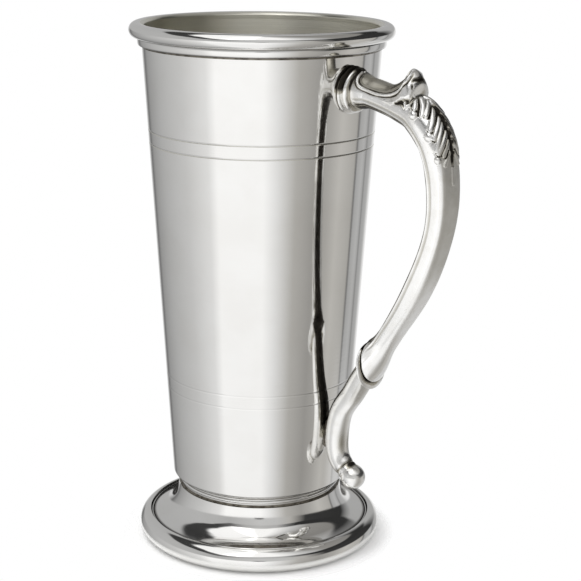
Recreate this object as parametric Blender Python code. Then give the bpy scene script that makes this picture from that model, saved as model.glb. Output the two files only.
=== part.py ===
"""A lidless one-pint pewter tankard: tapered barrel, moulded rim, spun foot and cast scroll handle.

Every piece is built round the barrel's axis, base at z = 0 and handle towards +X. The whole
tankard then hangs on one empty, which puts the origin under the middle of its bounding box.
"""
import math

import bmesh
import bpy
from mathutils import Vector

# Fits
GAP = 0.0003                # clearance between pieces that seat on each other
SOLDER_LEG = 0.0005         # leg of a soldered fillet's triangular section
SOLDER_PAD = 0.0005         # thickness of the solder film behind the handle

# Barrel
BARREL_HEIGHT = 0.1584
BARREL_BOTTOM_RADIUS = 0.0309
BARREL_TOP_RADIUS = 0.0411
BARREL_WALL = 0.0012
BARREL_FLOOR = 0.0016
BARREL_CORNER = 0.0018      # outside radius of the turned bottom corner
UPPER_LINES = 0.0357        # middle of the upper pair of engraved lines, below the barrel's cut edge
LOWER_LINES = 0.0361        # middle of the lower pair, above the barrel's bottom
LINE_SPACING = 0.0045
LINE_WIDTH = 0.0007
LINE_DEPTH = 0.0003

# Foot
BEAD_RADIUS = 0.0432        # outermost radius of the foot bead
BEAD_HEIGHT = 0.0085
BEAD_SWELL = 0.0037         # how far the bead's crest lies inside its outermost radius
BEAD_GROOVE = 0.0012        # width of the groove between the bead and the skirt
BEAD_LEDGE = 0.0021         # width of the ledge under the skirt's edge
SKIRT_WALL = 0.0012
SKIRT_SINK = 0.0008         # the skirt's outer edge below the bead's crest
SKIRT_RISE = 0.0113         # from the skirt's outer edge up to its flange
SKIRT_INSET = 0.0017        # the flange's edge inside the barrel's bottom radius
FLANGE_LAND = 0.0013        # the flange goes on inwards past the collar
COLLAR_INSET = 0.0026       # the recessed collar inside the barrel's bottom radius
COLLAR_WALL = 0.0030
COLLAR_HEIGHT = 0.0029

# Rim mount
LIP_OVERHANG = 0.0041       # the rolled lip beyond the barrel's cut edge
LIP_HEIGHT = 0.0052
LIP_RISE = 0.0026           # top of the lip above the barrel's cut edge
LIP_FALL = 0.0012           # how far the lip drops towards its inner edge
MOUNT_WALL = 0.0010         # the mount's thickness at its bottom fillet
FILLET_HEIGHT = 0.0009
CAVETTO_HEIGHT = 0.0015     # hollow moulding between the lip and the bottom fillet
CAVETTO_DEPTH = 0.0004

# Handle
ROOT_DROP = 0.0170          # centre of the root flange below the barrel's cut edge
CONTACT_RISE = 0.0215       # where the tail is soldered on, above the barrel's bottom
REACH = 0.0407              # greatest distance of the handle's centre line from the barrel
NECK_RADIUS = 0.0050
LEAF_RADIUS = 0.0059
ARM_RADIUS = 0.0050
ARM_FOOT_RADIUS = 0.0042
ARM_WIDTH = 0.95            # half the arm's width, as a share of its bar radius
ARM_DEPTH = 0.65            # half its depth: between the leaf and the sheath the arm is a flat bar
ARM_SQUARENESS = 5          # 2 is an oval section, more is squarer
TAIL_RADIUS = 0.0040
BALL_RADIUS = 0.0043
ROOT_RADIUS = 0.0087        # the root flange has a larger ring against the barrel
ROOT_RING = 0.0022
STEP_RADIUS = 0.0079        # and a smaller one before the neck
STEP_RING = 0.0020
NECK_FLARE = 0.0022         # how far the neck swells where it meets the flange
KNOP_RADIUS = 0.0073
KNOP_RING = 0.0028
KNOP_TILT = math.radians(22)
SHEATH_RADIUS = 0.0062      # the arm's flared end above the knop
SHEATH_LENGTH = 0.0115
HORN_RISE = 0.0070          # tip of the thumb rest above the arm
HORN_LEAD = 0.0059          # length over which the saddle climbs to the tip
HORN_SWEEP = 1.8            # how late in that length the climb steepens
NOSE_LENGTH = 0.0052        # from the tip to the chin of the curled leaf end
NOSE_FULLNESS = 2.6         # 2 is an elliptic nose, more is squarer
LEAF_LENGTH = 0.0290
LEAF_RISE = 0.0013
LEAF_FADE = 0.65            # share of its rise that the leaf has lost at its point
LEAF_SPREAD = math.radians(84)
LOBE_PAIRS = 4
LOBE_LENGTH = 0.0130
LOBE_WIDTH = 0.0031         # half width of a lobe
LOBE_ROOT = 0.35            # a lobe's height at its root, as a share of its height at its tip
MIDRIB_WIDTH = 0.0016       # half width of the leaf's raised middle

# Solder film behind the tail
TAIL_FILM_HEIGHT = 0.0112
TAIL_FILM_WIDTH = 0.0036

# Facets
TURN_STEPS = 48             # round every turned piece
ARM_SIDES = 28              # round the handle
SIDE_CROWDING = 0.3         # draws the handle's sides together on the leaf
BALL_STEPS = 4
PAD_SIDES = 16              # round a film of solder
SHARP_ANGLE = math.radians(35)

# Places worked out from the sizes above
SKIRT_EDGE_RADIUS = BEAD_RADIUS - BEAD_SWELL - BEAD_GROOVE
SKIRT_EDGE_Z = BEAD_HEIGHT - SKIRT_SINK
SKIRT_TOP_RADIUS = BARREL_BOTTOM_RADIUS - SKIRT_INSET
SKIRT_TOP_Z = SKIRT_EDGE_Z + SKIRT_RISE
LEDGE_Z = SKIRT_EDGE_Z - SKIRT_WALL - GAP
BEAD_BORE = SKIRT_EDGE_RADIUS - BEAD_LEDGE
COLLAR_RADIUS = BARREL_BOTTOM_RADIUS - COLLAR_INSET
COLLAR_BORE = COLLAR_RADIUS - COLLAR_WALL
BARREL_Z = SKIRT_TOP_Z + GAP + COLLAR_HEIGHT + GAP
BARREL_TOP_Z = BARREL_Z + BARREL_HEIGHT
BARREL_SLOPE = (BARREL_TOP_RADIUS - BARREL_BOTTOM_RADIUS) / BARREL_HEIGHT
LIP_TOP_Z = BARREL_TOP_Z + LIP_RISE
MOUNT_Z = LIP_TOP_Z - LIP_HEIGHT - CAVETTO_HEIGHT - FILLET_HEIGHT
ROOT_Z = BARREL_TOP_Z - ROOT_DROP
CONTACT_Z = BARREL_Z + CONTACT_RISE
SEAT = 2 * GAP + SOLDER_PAD             # the casting's seat off the barrel's wall
FLANGE = ROOT_RING + STEP_RING          # the root flange's two rings together


def wall_radius(z):
    """Outside radius of the barrel's straight taper at a height."""
    return BARREL_BOTTOM_RADIUS + BARREL_SLOPE * (z - BARREL_Z)


def arc(centre_r, centre_z, radius_r, radius_z, start, end, steps):
    """Points on an upright ellipse, angles in degrees from the outward direction."""
    points = []
    for step in range(steps + 1):
        angle = math.radians(start + (end - start) * step / steps)
        points.append((centre_r + radius_r * math.cos(angle), centre_z + radius_z * math.sin(angle)))
    return points


def bezier(a, b, c, d, steps):
    points = []
    for step in range(steps + 1):
        t = step / steps
        weights = ((1 - t) ** 3, 3 * t * (1 - t) ** 2, 3 * t * t * (1 - t), t ** 3)
        points.append(tuple(sum(w * p[i] for w, p in zip(weights, (a, b, c, d))) for i in (0, 1)))
    return points


def smooth(low, high, value):
    """0 below low, 1 above high, and an even S-shaped step between them."""
    t = min(1.0, max(0.0, (value - low) / (high - low)))
    return t * t * (3 - 2 * t)


def pewter(name, colour, roughness):
    material = bpy.data.materials.new(name)
    material.use_nodes = True
    shader = material.node_tree.nodes["Principled BSDF"]
    shader.inputs["Base Color"].default_value = (*colour, 1.0)
    shader.inputs["Metallic"].default_value = 1.0
    shader.inputs["Roughness"].default_value = roughness
    return material


def finish(name, bm, material, frame):
    """Turn a bmesh into a named, smooth-shaded object that hangs on the frame."""
    bmesh.ops.recalc_face_normals(bm, faces=bm.faces[:])
    mesh = bpy.data.meshes.new(name)
    bm.to_mesh(mesh)
    bm.free()
    mesh.shade_smooth()
    mesh.set_sharp_from_angle(angle=SHARP_ANGLE)
    piece = bpy.data.objects.new(name, mesh)
    piece.data.materials.append(material)
    piece.parent = frame
    bpy.context.scene.collection.objects.link(piece)


def turned(name, outline, material, frame, closed=True):
    """Spin an outline of (radius, height) points round the axis. An open outline ends on the axis."""
    bm = bmesh.new()
    verts = [bm.verts.new((r, 0.0, z)) for r, z in outline]
    pairs = list(zip(verts, verts[1:]))
    if closed:
        pairs.append((verts[-1], verts[0]))
    edges = [bm.edges.new(pair) for pair in pairs]
    bmesh.ops.spin(bm, geom=verts + edges, axis=(0, 0, 1), cent=(0, 0, 0),
                   angle=math.tau, steps=TURN_STEPS, use_merge=True)
    bmesh.ops.remove_doubles(bm, verts=bm.verts[:], dist=1e-6)
    finish(name, bm, material, frame)


def barrel(material, frame):
    """Spun in one piece: closed bottom, turned corner, straight taper, engraved line pairs."""
    corner_z = BARREL_Z + BARREL_CORNER
    outside_corner = arc(wall_radius(corner_z) - BARREL_CORNER, corner_z, BARREL_CORNER, BARREL_CORNER,
                         -90, 0, 4)
    floor_z = BARREL_Z + BARREL_FLOOR
    fillet = BARREL_CORNER - BARREL_WALL / 2
    fillet_z = floor_z + fillet
    inside_corner = arc(wall_radius(fillet_z) - BARREL_WALL - fillet, fillet_z, fillet, fillet, 0, -90, 3)
    outline = [(0.0, BARREL_Z)] + outside_corner
    for middle in (BARREL_Z + LOWER_LINES, BARREL_TOP_Z - UPPER_LINES):
        for z in (middle - LINE_SPACING / 2, middle + LINE_SPACING / 2):
            for edge, depth in ((-LINE_WIDTH / 2, 0.0), (0.0, LINE_DEPTH), (LINE_WIDTH / 2, 0.0)):
                outline.append((wall_radius(z + edge) - depth, z + edge))
    outline += [(BARREL_TOP_RADIUS, BARREL_TOP_Z), (BARREL_TOP_RADIUS - BARREL_WALL, BARREL_TOP_Z)]
    turned("barrel", outline + inside_corner + [(0.0, floor_z)], material, frame, closed=False)


def rim_mount(material, frame):
    """Turned ring: rolled lip, cavetto and fillet outside, a rebate inside for the barrel's edge."""
    lip = LIP_HEIGHT / 2
    lip_r = BARREL_TOP_RADIUS + LIP_OVERHANG - lip
    inner_r = BARREL_TOP_RADIUS - BARREL_WALL
    bore = BARREL_TOP_RADIUS + GAP
    fillet_r = bore + MOUNT_WALL
    cavetto_z = LIP_TOP_Z - LIP_HEIGHT - CAVETTO_HEIGHT / 2
    outline = arc(lip_r, LIP_TOP_Z - LIP_FALL, lip_r - inner_r, LIP_FALL, 180, 90, 3)
    outline += arc(lip_r, LIP_TOP_Z - lip, lip, lip, 90, -90, 8)[1:-1]
    outline += arc(fillet_r, cavetto_z, CAVETTO_DEPTH, CAVETTO_HEIGHT / 2, 90, 270, 4)
    rebate_z = BARREL_TOP_Z + GAP
    outline += [(fillet_r, MOUNT_Z), (bore, MOUNT_Z), (bore, rebate_z), (inner_r, rebate_z)]
    turned("rim_mount", outline, material, frame)


def foot_collar(material, frame):
    """Recessed neck ring between the barrel's bottom and the skirt's flange."""
    low = SKIRT_TOP_Z + GAP
    high = low + COLLAR_HEIGHT
    outline = [(COLLAR_BORE, low), (COLLAR_RADIUS, low), (COLLAR_RADIUS, high), (COLLAR_BORE, high)]
    turned("foot_collar", outline, material, frame)


def skirt_curve(wall, steps):
    """The trumpet flare from the flange down to the edge; the inside lies a wall below the outside."""
    top = SKIRT_TOP_RADIUS - wall
    top_z = SKIRT_TOP_Z - wall
    edge_z = SKIRT_EDGE_Z - wall
    fall = top_z - edge_z
    flare = SKIRT_EDGE_RADIUS - top
    steep = (top + 0.05 * flare, top_z - 0.70 * fall)
    level = (top + 0.24 * flare, edge_z + 0.03 * fall)
    return bezier((top, top_z), steep, level, (SKIRT_EDGE_RADIUS, edge_z), steps)


def foot_skirt(material, frame):
    """Spun trumpet foot, open underneath, with a flat flange for the collar."""
    bore = COLLAR_BORE - FLANGE_LAND
    outline = [(bore, SKIRT_TOP_Z)] + skirt_curve(0.0, 7) + skirt_curve(SKIRT_WALL, 5)[::-1]
    outline.append((bore, SKIRT_TOP_Z - SKIRT_WALL))
    turned("foot_skirt", outline, material, frame)


def foot_bead(material, frame):
    """Half-round base ring the tankard stands on, with a ledge for the skirt's edge."""
    half = BEAD_HEIGHT / 2
    crest = BEAD_RADIUS - BEAD_SWELL
    seat = SKIRT_EDGE_RADIUS + GAP
    groove_z = SKIRT_EDGE_Z - SKIRT_WALL / 2
    outline = [(BEAD_BORE, 0.0)] + arc(crest, half, BEAD_SWELL, half, -90, 90, 8)
    outline += [(crest - BEAD_GROOVE / 3, groove_z), (seat, groove_z), (seat, LEDGE_Z), (BEAD_BORE, LEDGE_Z)]
    turned("foot_bead", outline, material, frame)


def solder_ring(name, corner_r, corner_z, out, up, material, frame):
    """A soldered fillet with a triangular section, its square corner turned into the joint."""
    outline = [(corner_r, corner_z), (corner_r + out * SOLDER_LEG, corner_z),
               (corner_r, corner_z + up * SOLDER_LEG)]
    turned(name, outline, material, frame)


def soldered_seams(material, frame):
    solder_ring("rim_solder", wall_radius(MOUNT_Z) + GAP, MOUNT_Z - GAP, 1, -1, material, frame)
    solder_ring("collar_upper_solder", COLLAR_RADIUS + GAP, BARREL_Z - GAP, 1, -1, material, frame)
    solder_ring("collar_lower_solder", COLLAR_RADIUS + GAP, SKIRT_TOP_Z + GAP, 1, 1, material, frame)
    solder_ring("bead_solder", BEAD_BORE - GAP, LEDGE_Z, -1, -1, material, frame)


def on_wall(y, z, stand_off):
    """A point over the barrel's wall on the handle's side."""
    radius = wall_radius(z) + stand_off
    return Vector((math.sqrt(radius * radius - y * y), y, z))


def join_loops(bm, first, second):
    count = len(first)
    for side in range(count):
        after = (side + 1) % count
        bm.faces.new((first[side], first[after], second[after], second[side]))


def close_loop(bm, loop, point):
    """A fan of triangles from a loop to one point."""
    for side, vert in enumerate(loop):
        bm.faces.new((vert, loop[(side + 1) % len(loop)], point))


def solder_film(name, centre_z, half_height, half_width, material, frame):
    """A curved film of solder between the handle and the barrel."""
    bm = bmesh.new()
    rims = []
    for stand_off in (GAP, GAP + SOLDER_PAD):
        loops = []
        for share in (0.5, 1.0):
            loop = []
            for side in range(PAD_SIDES):
                angle = math.tau * side / PAD_SIDES
                y = share * half_width * math.sin(angle)
                z = centre_z + share * half_height * math.cos(angle)
                loop.append(bm.verts.new(on_wall(y, z, stand_off)))
            loops.append(loop)
        close_loop(bm, loops[0], bm.verts.new(on_wall(0.0, centre_z, stand_off)))
        join_loops(bm, *loops)
        rims.append(loops[-1])
    join_loops(bm, *rims)
    finish(name, bm, material, frame)


def handle_knots():
    """Centre line of the casting: share of the drop, distance from the wall, and the bar's radius."""
    touch = TAIL_RADIUS + SEAT
    rows = [
        (0.000, SEAT, NECK_RADIUS),
        (-0.003, 0.199 * REACH, NECK_RADIUS),
        (0.007, 0.366 * REACH, NECK_RADIUS),
        (0.021, 0.528 * REACH, 1.04 * NECK_RADIUS),
        (0.043, 0.710 * REACH, LEAF_RADIUS),
        (0.120, 0.907 * REACH, LEAF_RADIUS),
        (0.243, 1.000 * REACH, 0.5 * (LEAF_RADIUS + ARM_RADIUS)),
        (0.361, 0.978 * REACH, ARM_RADIUS),
        (0.513, 0.823 * REACH, ARM_RADIUS),
        (0.659, 0.585 * REACH, ARM_FOOT_RADIUS),
        (0.747, 0.423 * REACH, ARM_FOOT_RADIUS),
        (0.852, 0.256 * REACH, TAIL_RADIUS),
        (0.918, 0.030 * REACH + touch, TAIL_RADIUS),
        (1.000, touch, TAIL_RADIUS),
        (1.061, 0.044 * REACH + touch, 0.95 * TAIL_RADIUS),
        (1.105, 0.204 * REACH + touch, 0.85 * TAIL_RADIUS),
    ]
    knots = []
    for drop, off, radius in rows:
        z = ROOT_Z - drop * (ROOT_Z - CONTACT_Z)
        knots.append((wall_radius(z) + off, z, radius))
    return knots


HORN, KNOP = 3, 10          # rows of the centre line where the thumb rest's tip and the knop sit


class CentreLine:
    """A smooth curve through the knots, read by length along it."""

    FINE = 24               # straight steps from one knot to the next

    def __init__(self, knots):
        count = len(knots)
        spans = [math.dist(a[:2], b[:2]) for a, b in zip(knots, knots[1:])]
        slopes = []
        for i in range(count):
            before = max(i - 1, 0)
            after = min(i + 1, count - 1)
            run = sum(spans[before:after])
            slopes.append([(q - p) / run for p, q in zip(knots[before], knots[after])])
        self.samples = []
        for i, span in enumerate(spans):
            for step in range(self.FINE):
                t = step / self.FINE
                ends = (2 * t ** 3 - 3 * t ** 2 + 1, 3 * t ** 2 - 2 * t ** 3)
                pulls = (span * (t ** 3 - 2 * t ** 2 + t), span * (t ** 3 - t ** 2))
                self.samples.append([
                    ends[0] * knots[i][k] + ends[1] * knots[i + 1][k]
                    + pulls[0] * slopes[i][k] + pulls[1] * slopes[i + 1][k] for k in range(3)])
        self.samples.append(list(knots[-1]))
        self.lengths = [0.0]
        for a, b in zip(self.samples, self.samples[1:]):
            self.lengths.append(self.lengths[-1] + math.dist(a[:2], b[:2]))
        knot_lengths = self.lengths[::self.FINE]
        self.total = self.lengths[-1]
        self.horn = knot_lengths[HORN]
        self.chin = self.horn + NOSE_LENGTH
        self.knop = knot_lengths[KNOP]

    def at(self, length):
        """Centre x and z, the bar's radius and the unit tangent, at a length."""
        last = len(self.lengths) - 2
        index = 0
        while index < last and self.lengths[index + 1] < length:
            index += 1
        start, end = self.samples[index], self.samples[index + 1]
        t = (length - self.lengths[index]) / (self.lengths[index + 1] - self.lengths[index])
        values = [a + t * (b - a) for a, b in zip(start, end)]
        before = self.samples[max(index - 1, 0)]
        after = self.samples[min(index + 2, last + 1)]
        tangent = Vector((after[0] - before[0], 0.0, after[1] - before[1])).normalized()
        return values, tangent


def half_round(length, centre, thickness, radius, bar):
    """Radius of a half-round ring that stands on the bar, or the bar's own radius outside it."""
    across = 2 * (length - centre) / thickness
    if abs(across) >= 1:
        return bar
    return bar + (radius - bar) * math.sqrt(1 - across * across)


def turned_radius(line, length, bar):
    """The bar with its turned features: flange rings, flared neck and sheath, knop ring and ball."""
    sheath_end = line.knop - KNOP_RING / 2
    radii = [
        half_round(length, ROOT_RING / 2, ROOT_RING, ROOT_RADIUS, bar),
        half_round(length, ROOT_RING + STEP_RING / 2, STEP_RING, STEP_RADIUS, bar),
        bar + NECK_FLARE * (1 - smooth(ROOT_RING, ROOT_RING + FLANGE, length)),
        half_round(length, line.knop, KNOP_RING, KNOP_RADIUS, bar),
    ]
    if length <= sheath_end:
        flare = smooth(sheath_end - SHEATH_LENGTH, sheath_end, length) ** 2
        radii.append(bar + (SHEATH_RADIUS - bar) * flare)
    left = line.total - length
    if left < BALL_RADIUS:
        radii.append(math.sqrt(BALL_RADIUS ** 2 - left ** 2))
    return max(radii)


def arm_section(line, length, angle):
    """Share of the bar's radius at an angle: round at the neck and the tail, a flat rounded bar between."""
    sheath = line.knop - KNOP_RING / 2 - SHEATH_LENGTH
    flat = smooth(line.chin + 0.30 * LEAF_LENGTH, line.chin + 0.85 * LEAF_LENGTH, length)
    flat *= 1 - smooth(sheath - SHEATH_LENGTH, sheath + SHEATH_LENGTH / 2, length)
    across = abs(math.sin(angle)) / ARM_WIDTH
    deep = abs(math.cos(angle)) / ARM_DEPTH
    squared = (across ** ARM_SQUARENESS + deep ** ARM_SQUARENESS) ** (-1 / ARM_SQUARENESS)
    return 1 + flat * (squared - 1)


def horn_rise(line, length):
    """Height of the thumb rest over the bar: a saddle climbing to a tip, then a rounded nose."""
    if length <= line.horn:
        climb = max(0.0, 1 - (line.horn - length) / HORN_LEAD)
        return HORN_RISE * climb ** HORN_SWEEP
    past = min(1.0, (length - line.horn) / NOSE_LENGTH)
    return HORN_RISE * math.sqrt(1 - past ** NOSE_FULLNESS)


def lobe_height(along, across, tip_along, tip_across):
    """One lobe of the leaf, 1 at its top: a rounded finger that widens and thickens to its tip."""
    base_along = tip_along - LOBE_LENGTH
    base_across = tip_across / 4
    run = math.hypot(LOBE_LENGTH, tip_across - base_across)
    axis = (LOBE_LENGTH / run, (tip_across - base_across) / run)
    share = ((along - base_along) * axis[0] + (across - base_across) * axis[1]) / run
    if not 0 < share < 1:
        return 0.0
    beside = (across - base_across) * axis[0] - (along - base_along) * axis[1]
    half_width = LOBE_WIDTH * math.sqrt(share * (1 - share ** 5))
    if abs(beside) >= half_width:
        return 0.0
    return (LOBE_ROOT + (1 - LOBE_ROOT) * share) * math.sqrt(1 - (beside / half_width) ** 2)


def leaf_relief(line, length, angle):
    """Raised acanthus leaf on the outer back: pairs of lobes that fall away from a midrib."""
    along = length - line.chin
    if not 0 <= along <= LEAF_LENGTH:
        return 0.0
    across = abs(angle) * LEAF_RADIUS
    heights = [1 - (across / MIDRIB_WIDTH) ** 2]
    for pair in range(LOBE_PAIRS):
        tip = (pair + 0.4) / LOBE_PAIRS
        spread = LEAF_SPREAD * math.sqrt(1 - tip ** 3)
        heights.append(lobe_height(along, across, tip * LEAF_LENGTH, spread * LEAF_RADIUS))
    return LEAF_RISE * (1 - LEAF_FADE * along / LEAF_LENGTH) * max(0.0, *heights)


def handle_point(line, length, angle):
    """A point on the casting's skin; angle 0 faces away from the hand."""
    (x, z, bar), tangent = line.at(length)
    lean = KNOP_TILT * (1 - smooth(0.0, SHEATH_LENGTH, abs(length - line.knop)))
    normal = math.cos(lean) * Vector((-tangent.z, 0.0, tangent.x)) + math.sin(lean) * tangent
    radius = turned_radius(line, length, bar) * arm_section(line, length, angle)
    radius += leaf_relief(line, length, angle)
    back = math.cos(angle)
    out = radius * back + horn_rise(line, length) * smooth(0.0, 0.55, back)
    side = radius * math.sin(angle)
    free = Vector((x, 0.0, z)) + normal * out + Vector((0.0, side, 0.0))
    seated = on_wall(side, z + out, SEAT) + Vector((length, 0.0, 0.0))
    return seated.lerp(free, smooth(0.8 * FLANGE, 2.4 * FLANGE, length))


def handle_stations(line):
    """Lengths at which the casting is sectioned, closer where the form changes fast."""
    neck = 1.8 * FLANGE
    saddle = line.horn - HORN_LEAD
    leaf_end = line.chin + LEAF_LENGTH
    knop_start = line.knop - KNOP_RING / 2
    knop_end = line.knop + KNOP_RING / 2
    sheath = knop_start - SHEATH_LENGTH
    ball = line.total - BALL_RADIUS
    spans = [(0.0, ROOT_RING, 4), (ROOT_RING, FLANGE, 4), (FLANGE, neck, 3), (neck, saddle, 4),
             (saddle, line.horn, 7), (line.horn, line.chin, 8), (line.chin, leaf_end, 30),
             (leaf_end, sheath, 9), (sheath, knop_start, 6), (knop_start, knop_end, 6),
             (knop_end, ball, 12), (ball, line.total, BALL_STEPS)]
    stations = [start + (end - start) * step / steps for start, end, steps in spans for step in range(steps)]
    stations += [knop_start + 0.02 * KNOP_RING, line.total]
    return sorted(stations)


def handle(material, frame):
    """Solid casting lofted along its centre line, from the root flange to the ball terminal."""
    line = CentreLine(handle_knots())
    even = [math.tau * (side / ARM_SIDES - 0.5) for side in range(ARM_SIDES)]
    turns = [angle - SIDE_CROWDING * math.sin(angle) for angle in even]
    bm = bmesh.new()
    loops = [[bm.verts.new(handle_point(line, length, turn)) for turn in turns]
             for length in handle_stations(line)]

    seat_loops = []
    for share in (1 / 3, 2 / 3):
        loop = []
        for turn in turns:
            edge = handle_point(line, 0.0, turn)
            loop.append(bm.verts.new(on_wall(share * edge.y, ROOT_Z + share * (edge.z - ROOT_Z), SEAT)))
        seat_loops.append(loop)
    close_loop(bm, seat_loops[0], bm.verts.new(on_wall(0.0, ROOT_Z, SEAT)))
    loops = seat_loops + loops

    (x, z, _), tangent = line.at(line.total)
    centre = Vector((x, 0.0, z))
    normal = Vector((-tangent.z, 0.0, tangent.x))
    for step in range(1, BALL_STEPS):
        lean = 0.5 * math.pi * step / BALL_STEPS
        loop = []
        for turn in turns:
            spoke = normal * math.cos(turn) + Vector((0.0, math.sin(turn), 0.0))
            offset = math.sin(lean) * tangent + math.cos(lean) * spoke
            loop.append(bm.verts.new(centre + BALL_RADIUS * offset))
        loops.append(loop)
    close_loop(bm, loops[-1], bm.verts.new(centre + BALL_RADIUS * tangent))
    for first, second in zip(loops, loops[1:]):
        join_loops(bm, first, second)
    finish("handle_casting", bm, material, frame)


def centre_frame(frame):
    """Put the origin under the middle of the whole tankard."""
    places = [vert.co.x for piece in frame.children for vert in piece.data.vertices]
    frame.location.x = -0.5 * (min(places) + max(places))


def main():
    for leftover in list(bpy.data.objects):
        bpy.data.objects.remove(leftover)
    frame = bpy.data.objects.new("tankard", None)
    bpy.context.scene.collection.objects.link(frame)
    bright = pewter("polished_pewter", (0.80, 0.79, 0.77), 0.08)
    cast = pewter("cast_pewter", (0.74, 0.73, 0.70), 0.16)
    solder = pewter("pewter_solder", (0.58, 0.57, 0.54), 0.35)
    barrel(bright, frame)
    rim_mount(bright, frame)
    foot_collar(bright, frame)
    foot_skirt(bright, frame)
    foot_bead(bright, frame)
    handle(cast, frame)
    soldered_seams(solder, frame)
    root_film = ROOT_RADIUS - SOLDER_PAD
    solder_film("handle_root_solder", ROOT_Z, root_film, root_film, solder, frame)
    solder_film("handle_tail_solder", CONTACT_Z, TAIL_FILM_HEIGHT / 2, TAIL_FILM_WIDTH / 2, solder, frame)
    centre_frame(frame)


main()
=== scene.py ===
# %% [markdown]
# # A pewter tankard dressed over its solid frame
# The tankard is a spun barrel with a turned rim mount, a spun and turned foot, and one cast handle that is
# soldered on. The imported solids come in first. Every piece below is made in their frame, in metres, and
# takes its main sizes from their boxes, so nothing has to be fitted afterwards.

# %% Load the frame
import math

import bmesh
import bpy
import numpy as np
from mathutils import Matrix, Vector


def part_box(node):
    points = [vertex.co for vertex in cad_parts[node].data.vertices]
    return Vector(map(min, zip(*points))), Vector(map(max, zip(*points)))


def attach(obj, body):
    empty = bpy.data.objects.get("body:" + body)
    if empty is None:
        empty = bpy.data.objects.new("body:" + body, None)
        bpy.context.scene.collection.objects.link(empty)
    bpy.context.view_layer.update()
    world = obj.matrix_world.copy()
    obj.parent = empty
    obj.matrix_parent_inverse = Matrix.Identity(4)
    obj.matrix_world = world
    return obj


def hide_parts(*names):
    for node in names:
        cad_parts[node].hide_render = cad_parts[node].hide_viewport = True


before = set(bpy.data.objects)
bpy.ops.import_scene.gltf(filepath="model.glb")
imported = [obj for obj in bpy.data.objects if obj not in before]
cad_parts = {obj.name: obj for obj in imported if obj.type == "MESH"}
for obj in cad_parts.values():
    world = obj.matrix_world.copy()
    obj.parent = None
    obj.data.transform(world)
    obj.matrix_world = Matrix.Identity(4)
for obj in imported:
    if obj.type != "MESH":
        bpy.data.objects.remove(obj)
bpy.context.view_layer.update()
scene = bpy.context.scene


def add_object(name, data):
    """Put a new object into the scene, at the origin and unturned."""
    thing = bpy.data.objects.new(name, data)
    scene.collection.objects.link(thing)
    return thing


print("nodes:", ", ".join(sorted(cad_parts)))

# %% [markdown]
# ## Sizes
# A turned piece is known by its axis, its radii and its heights. The boxes of the solids give these, and the
# few that a box cannot show, such as a wall thickness, are written down here.

# %% Read the main sizes
barrel_low, barrel_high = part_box("barrel")
rim_low, rim_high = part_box("rim_mount")
collar_low, collar_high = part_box("foot_collar")
skirt_low, skirt_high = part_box("foot_skirt")
bead_low, bead_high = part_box("foot_bead")

AXIS_X = (barrel_low.x + barrel_high.x) / 2
BARREL_Z, BARREL_TOP_Z = barrel_low.z, barrel_high.z
BARREL_TOP_RADIUS = (barrel_high.y - barrel_low.y) / 2
BARREL_BOTTOM_RADIUS = 0.0309
BARREL_WALL, BARREL_FLOOR, BARREL_CORNER = 0.0012, 0.0016, 0.0018
BARREL_SLOPE = (BARREL_TOP_RADIUS - BARREL_BOTTOM_RADIUS) / (BARREL_TOP_Z - BARREL_Z)
RIM_RADIUS, RIM_TOP_Z, MOUNT_Z = (rim_high.y - rim_low.y) / 2, rim_high.z, rim_low.z
COLLAR_RADIUS, COLLAR_BORE = (collar_high.y - collar_low.y) / 2, 0.0253
SKIRT_EDGE_RADIUS, SKIRT_TOP_Z = (skirt_high.y - skirt_low.y) / 2, skirt_high.z
SKIRT_TOP_RADIUS, SKIRT_EDGE_Z, SKIRT_WALL = 0.0292, 0.0077, 0.0012
BEAD_RADIUS, BEAD_HEIGHT = (bead_high.y - bead_low.y) / 2, bead_high.z
BEAD_SWELL, BEAD_BORE = 0.0037, 0.0362


def wall_radius(z):
    """Outside radius of the barrel's straight taper at a height."""
    return BARREL_BOTTOM_RADIUS + BARREL_SLOPE * (z - BARREL_Z)


print(f"axis x {AXIS_X:.5f}, barrel {BARREL_Z:.4f} to {BARREL_TOP_Z:.4f}, rim radius {RIM_RADIUS:.4f}")

# %% [markdown]
# ## Camera
# The picture looks down on the rim from close by, with a long lens, and the handle points to the right and
# towards the lens. The camera stands on the line that makes the handle's own angle with it, and is aimed by
# three small turns: down, sideways and a slight roll.

# %% Set the camera
IMAGE_PIXELS, FOCAL_PIXELS, SENSOR_MM = 581, 1597.4, 36.0
CAMERA_DISTANCE, CAMERA_HEIGHT = 0.546, 0.23313
HANDLE_TURN = math.radians(46.5)
PITCH, YAW, ROLL = math.radians(14.73), 0.0193, 0.0110

up = Vector((0, 0, 1))
towards = Vector((math.cos(HANDLE_TURN), -math.sin(HANDLE_TURN), 0))
across = Vector((math.sin(HANDLE_TURN), math.cos(HANDLE_TURN), 0))
level_right = math.cos(YAW) * across + math.sin(YAW) * towards
level_ahead = math.sin(YAW) * across - math.cos(YAW) * towards
ahead = math.cos(PITCH) * level_ahead - math.sin(PITCH) * up
level_top = math.sin(PITCH) * level_ahead + math.cos(PITCH) * up
right = math.cos(ROLL) * level_right + math.sin(ROLL) * level_top
top = math.cos(ROLL) * level_top - math.sin(ROLL) * level_right


def spot(aside, forward, height):
    """A point seen from the camera: aside of the barrel's axis, towards the lens, above the floor."""
    return Vector((AXIS_X, 0, height)) + aside * across + forward * towards


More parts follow.
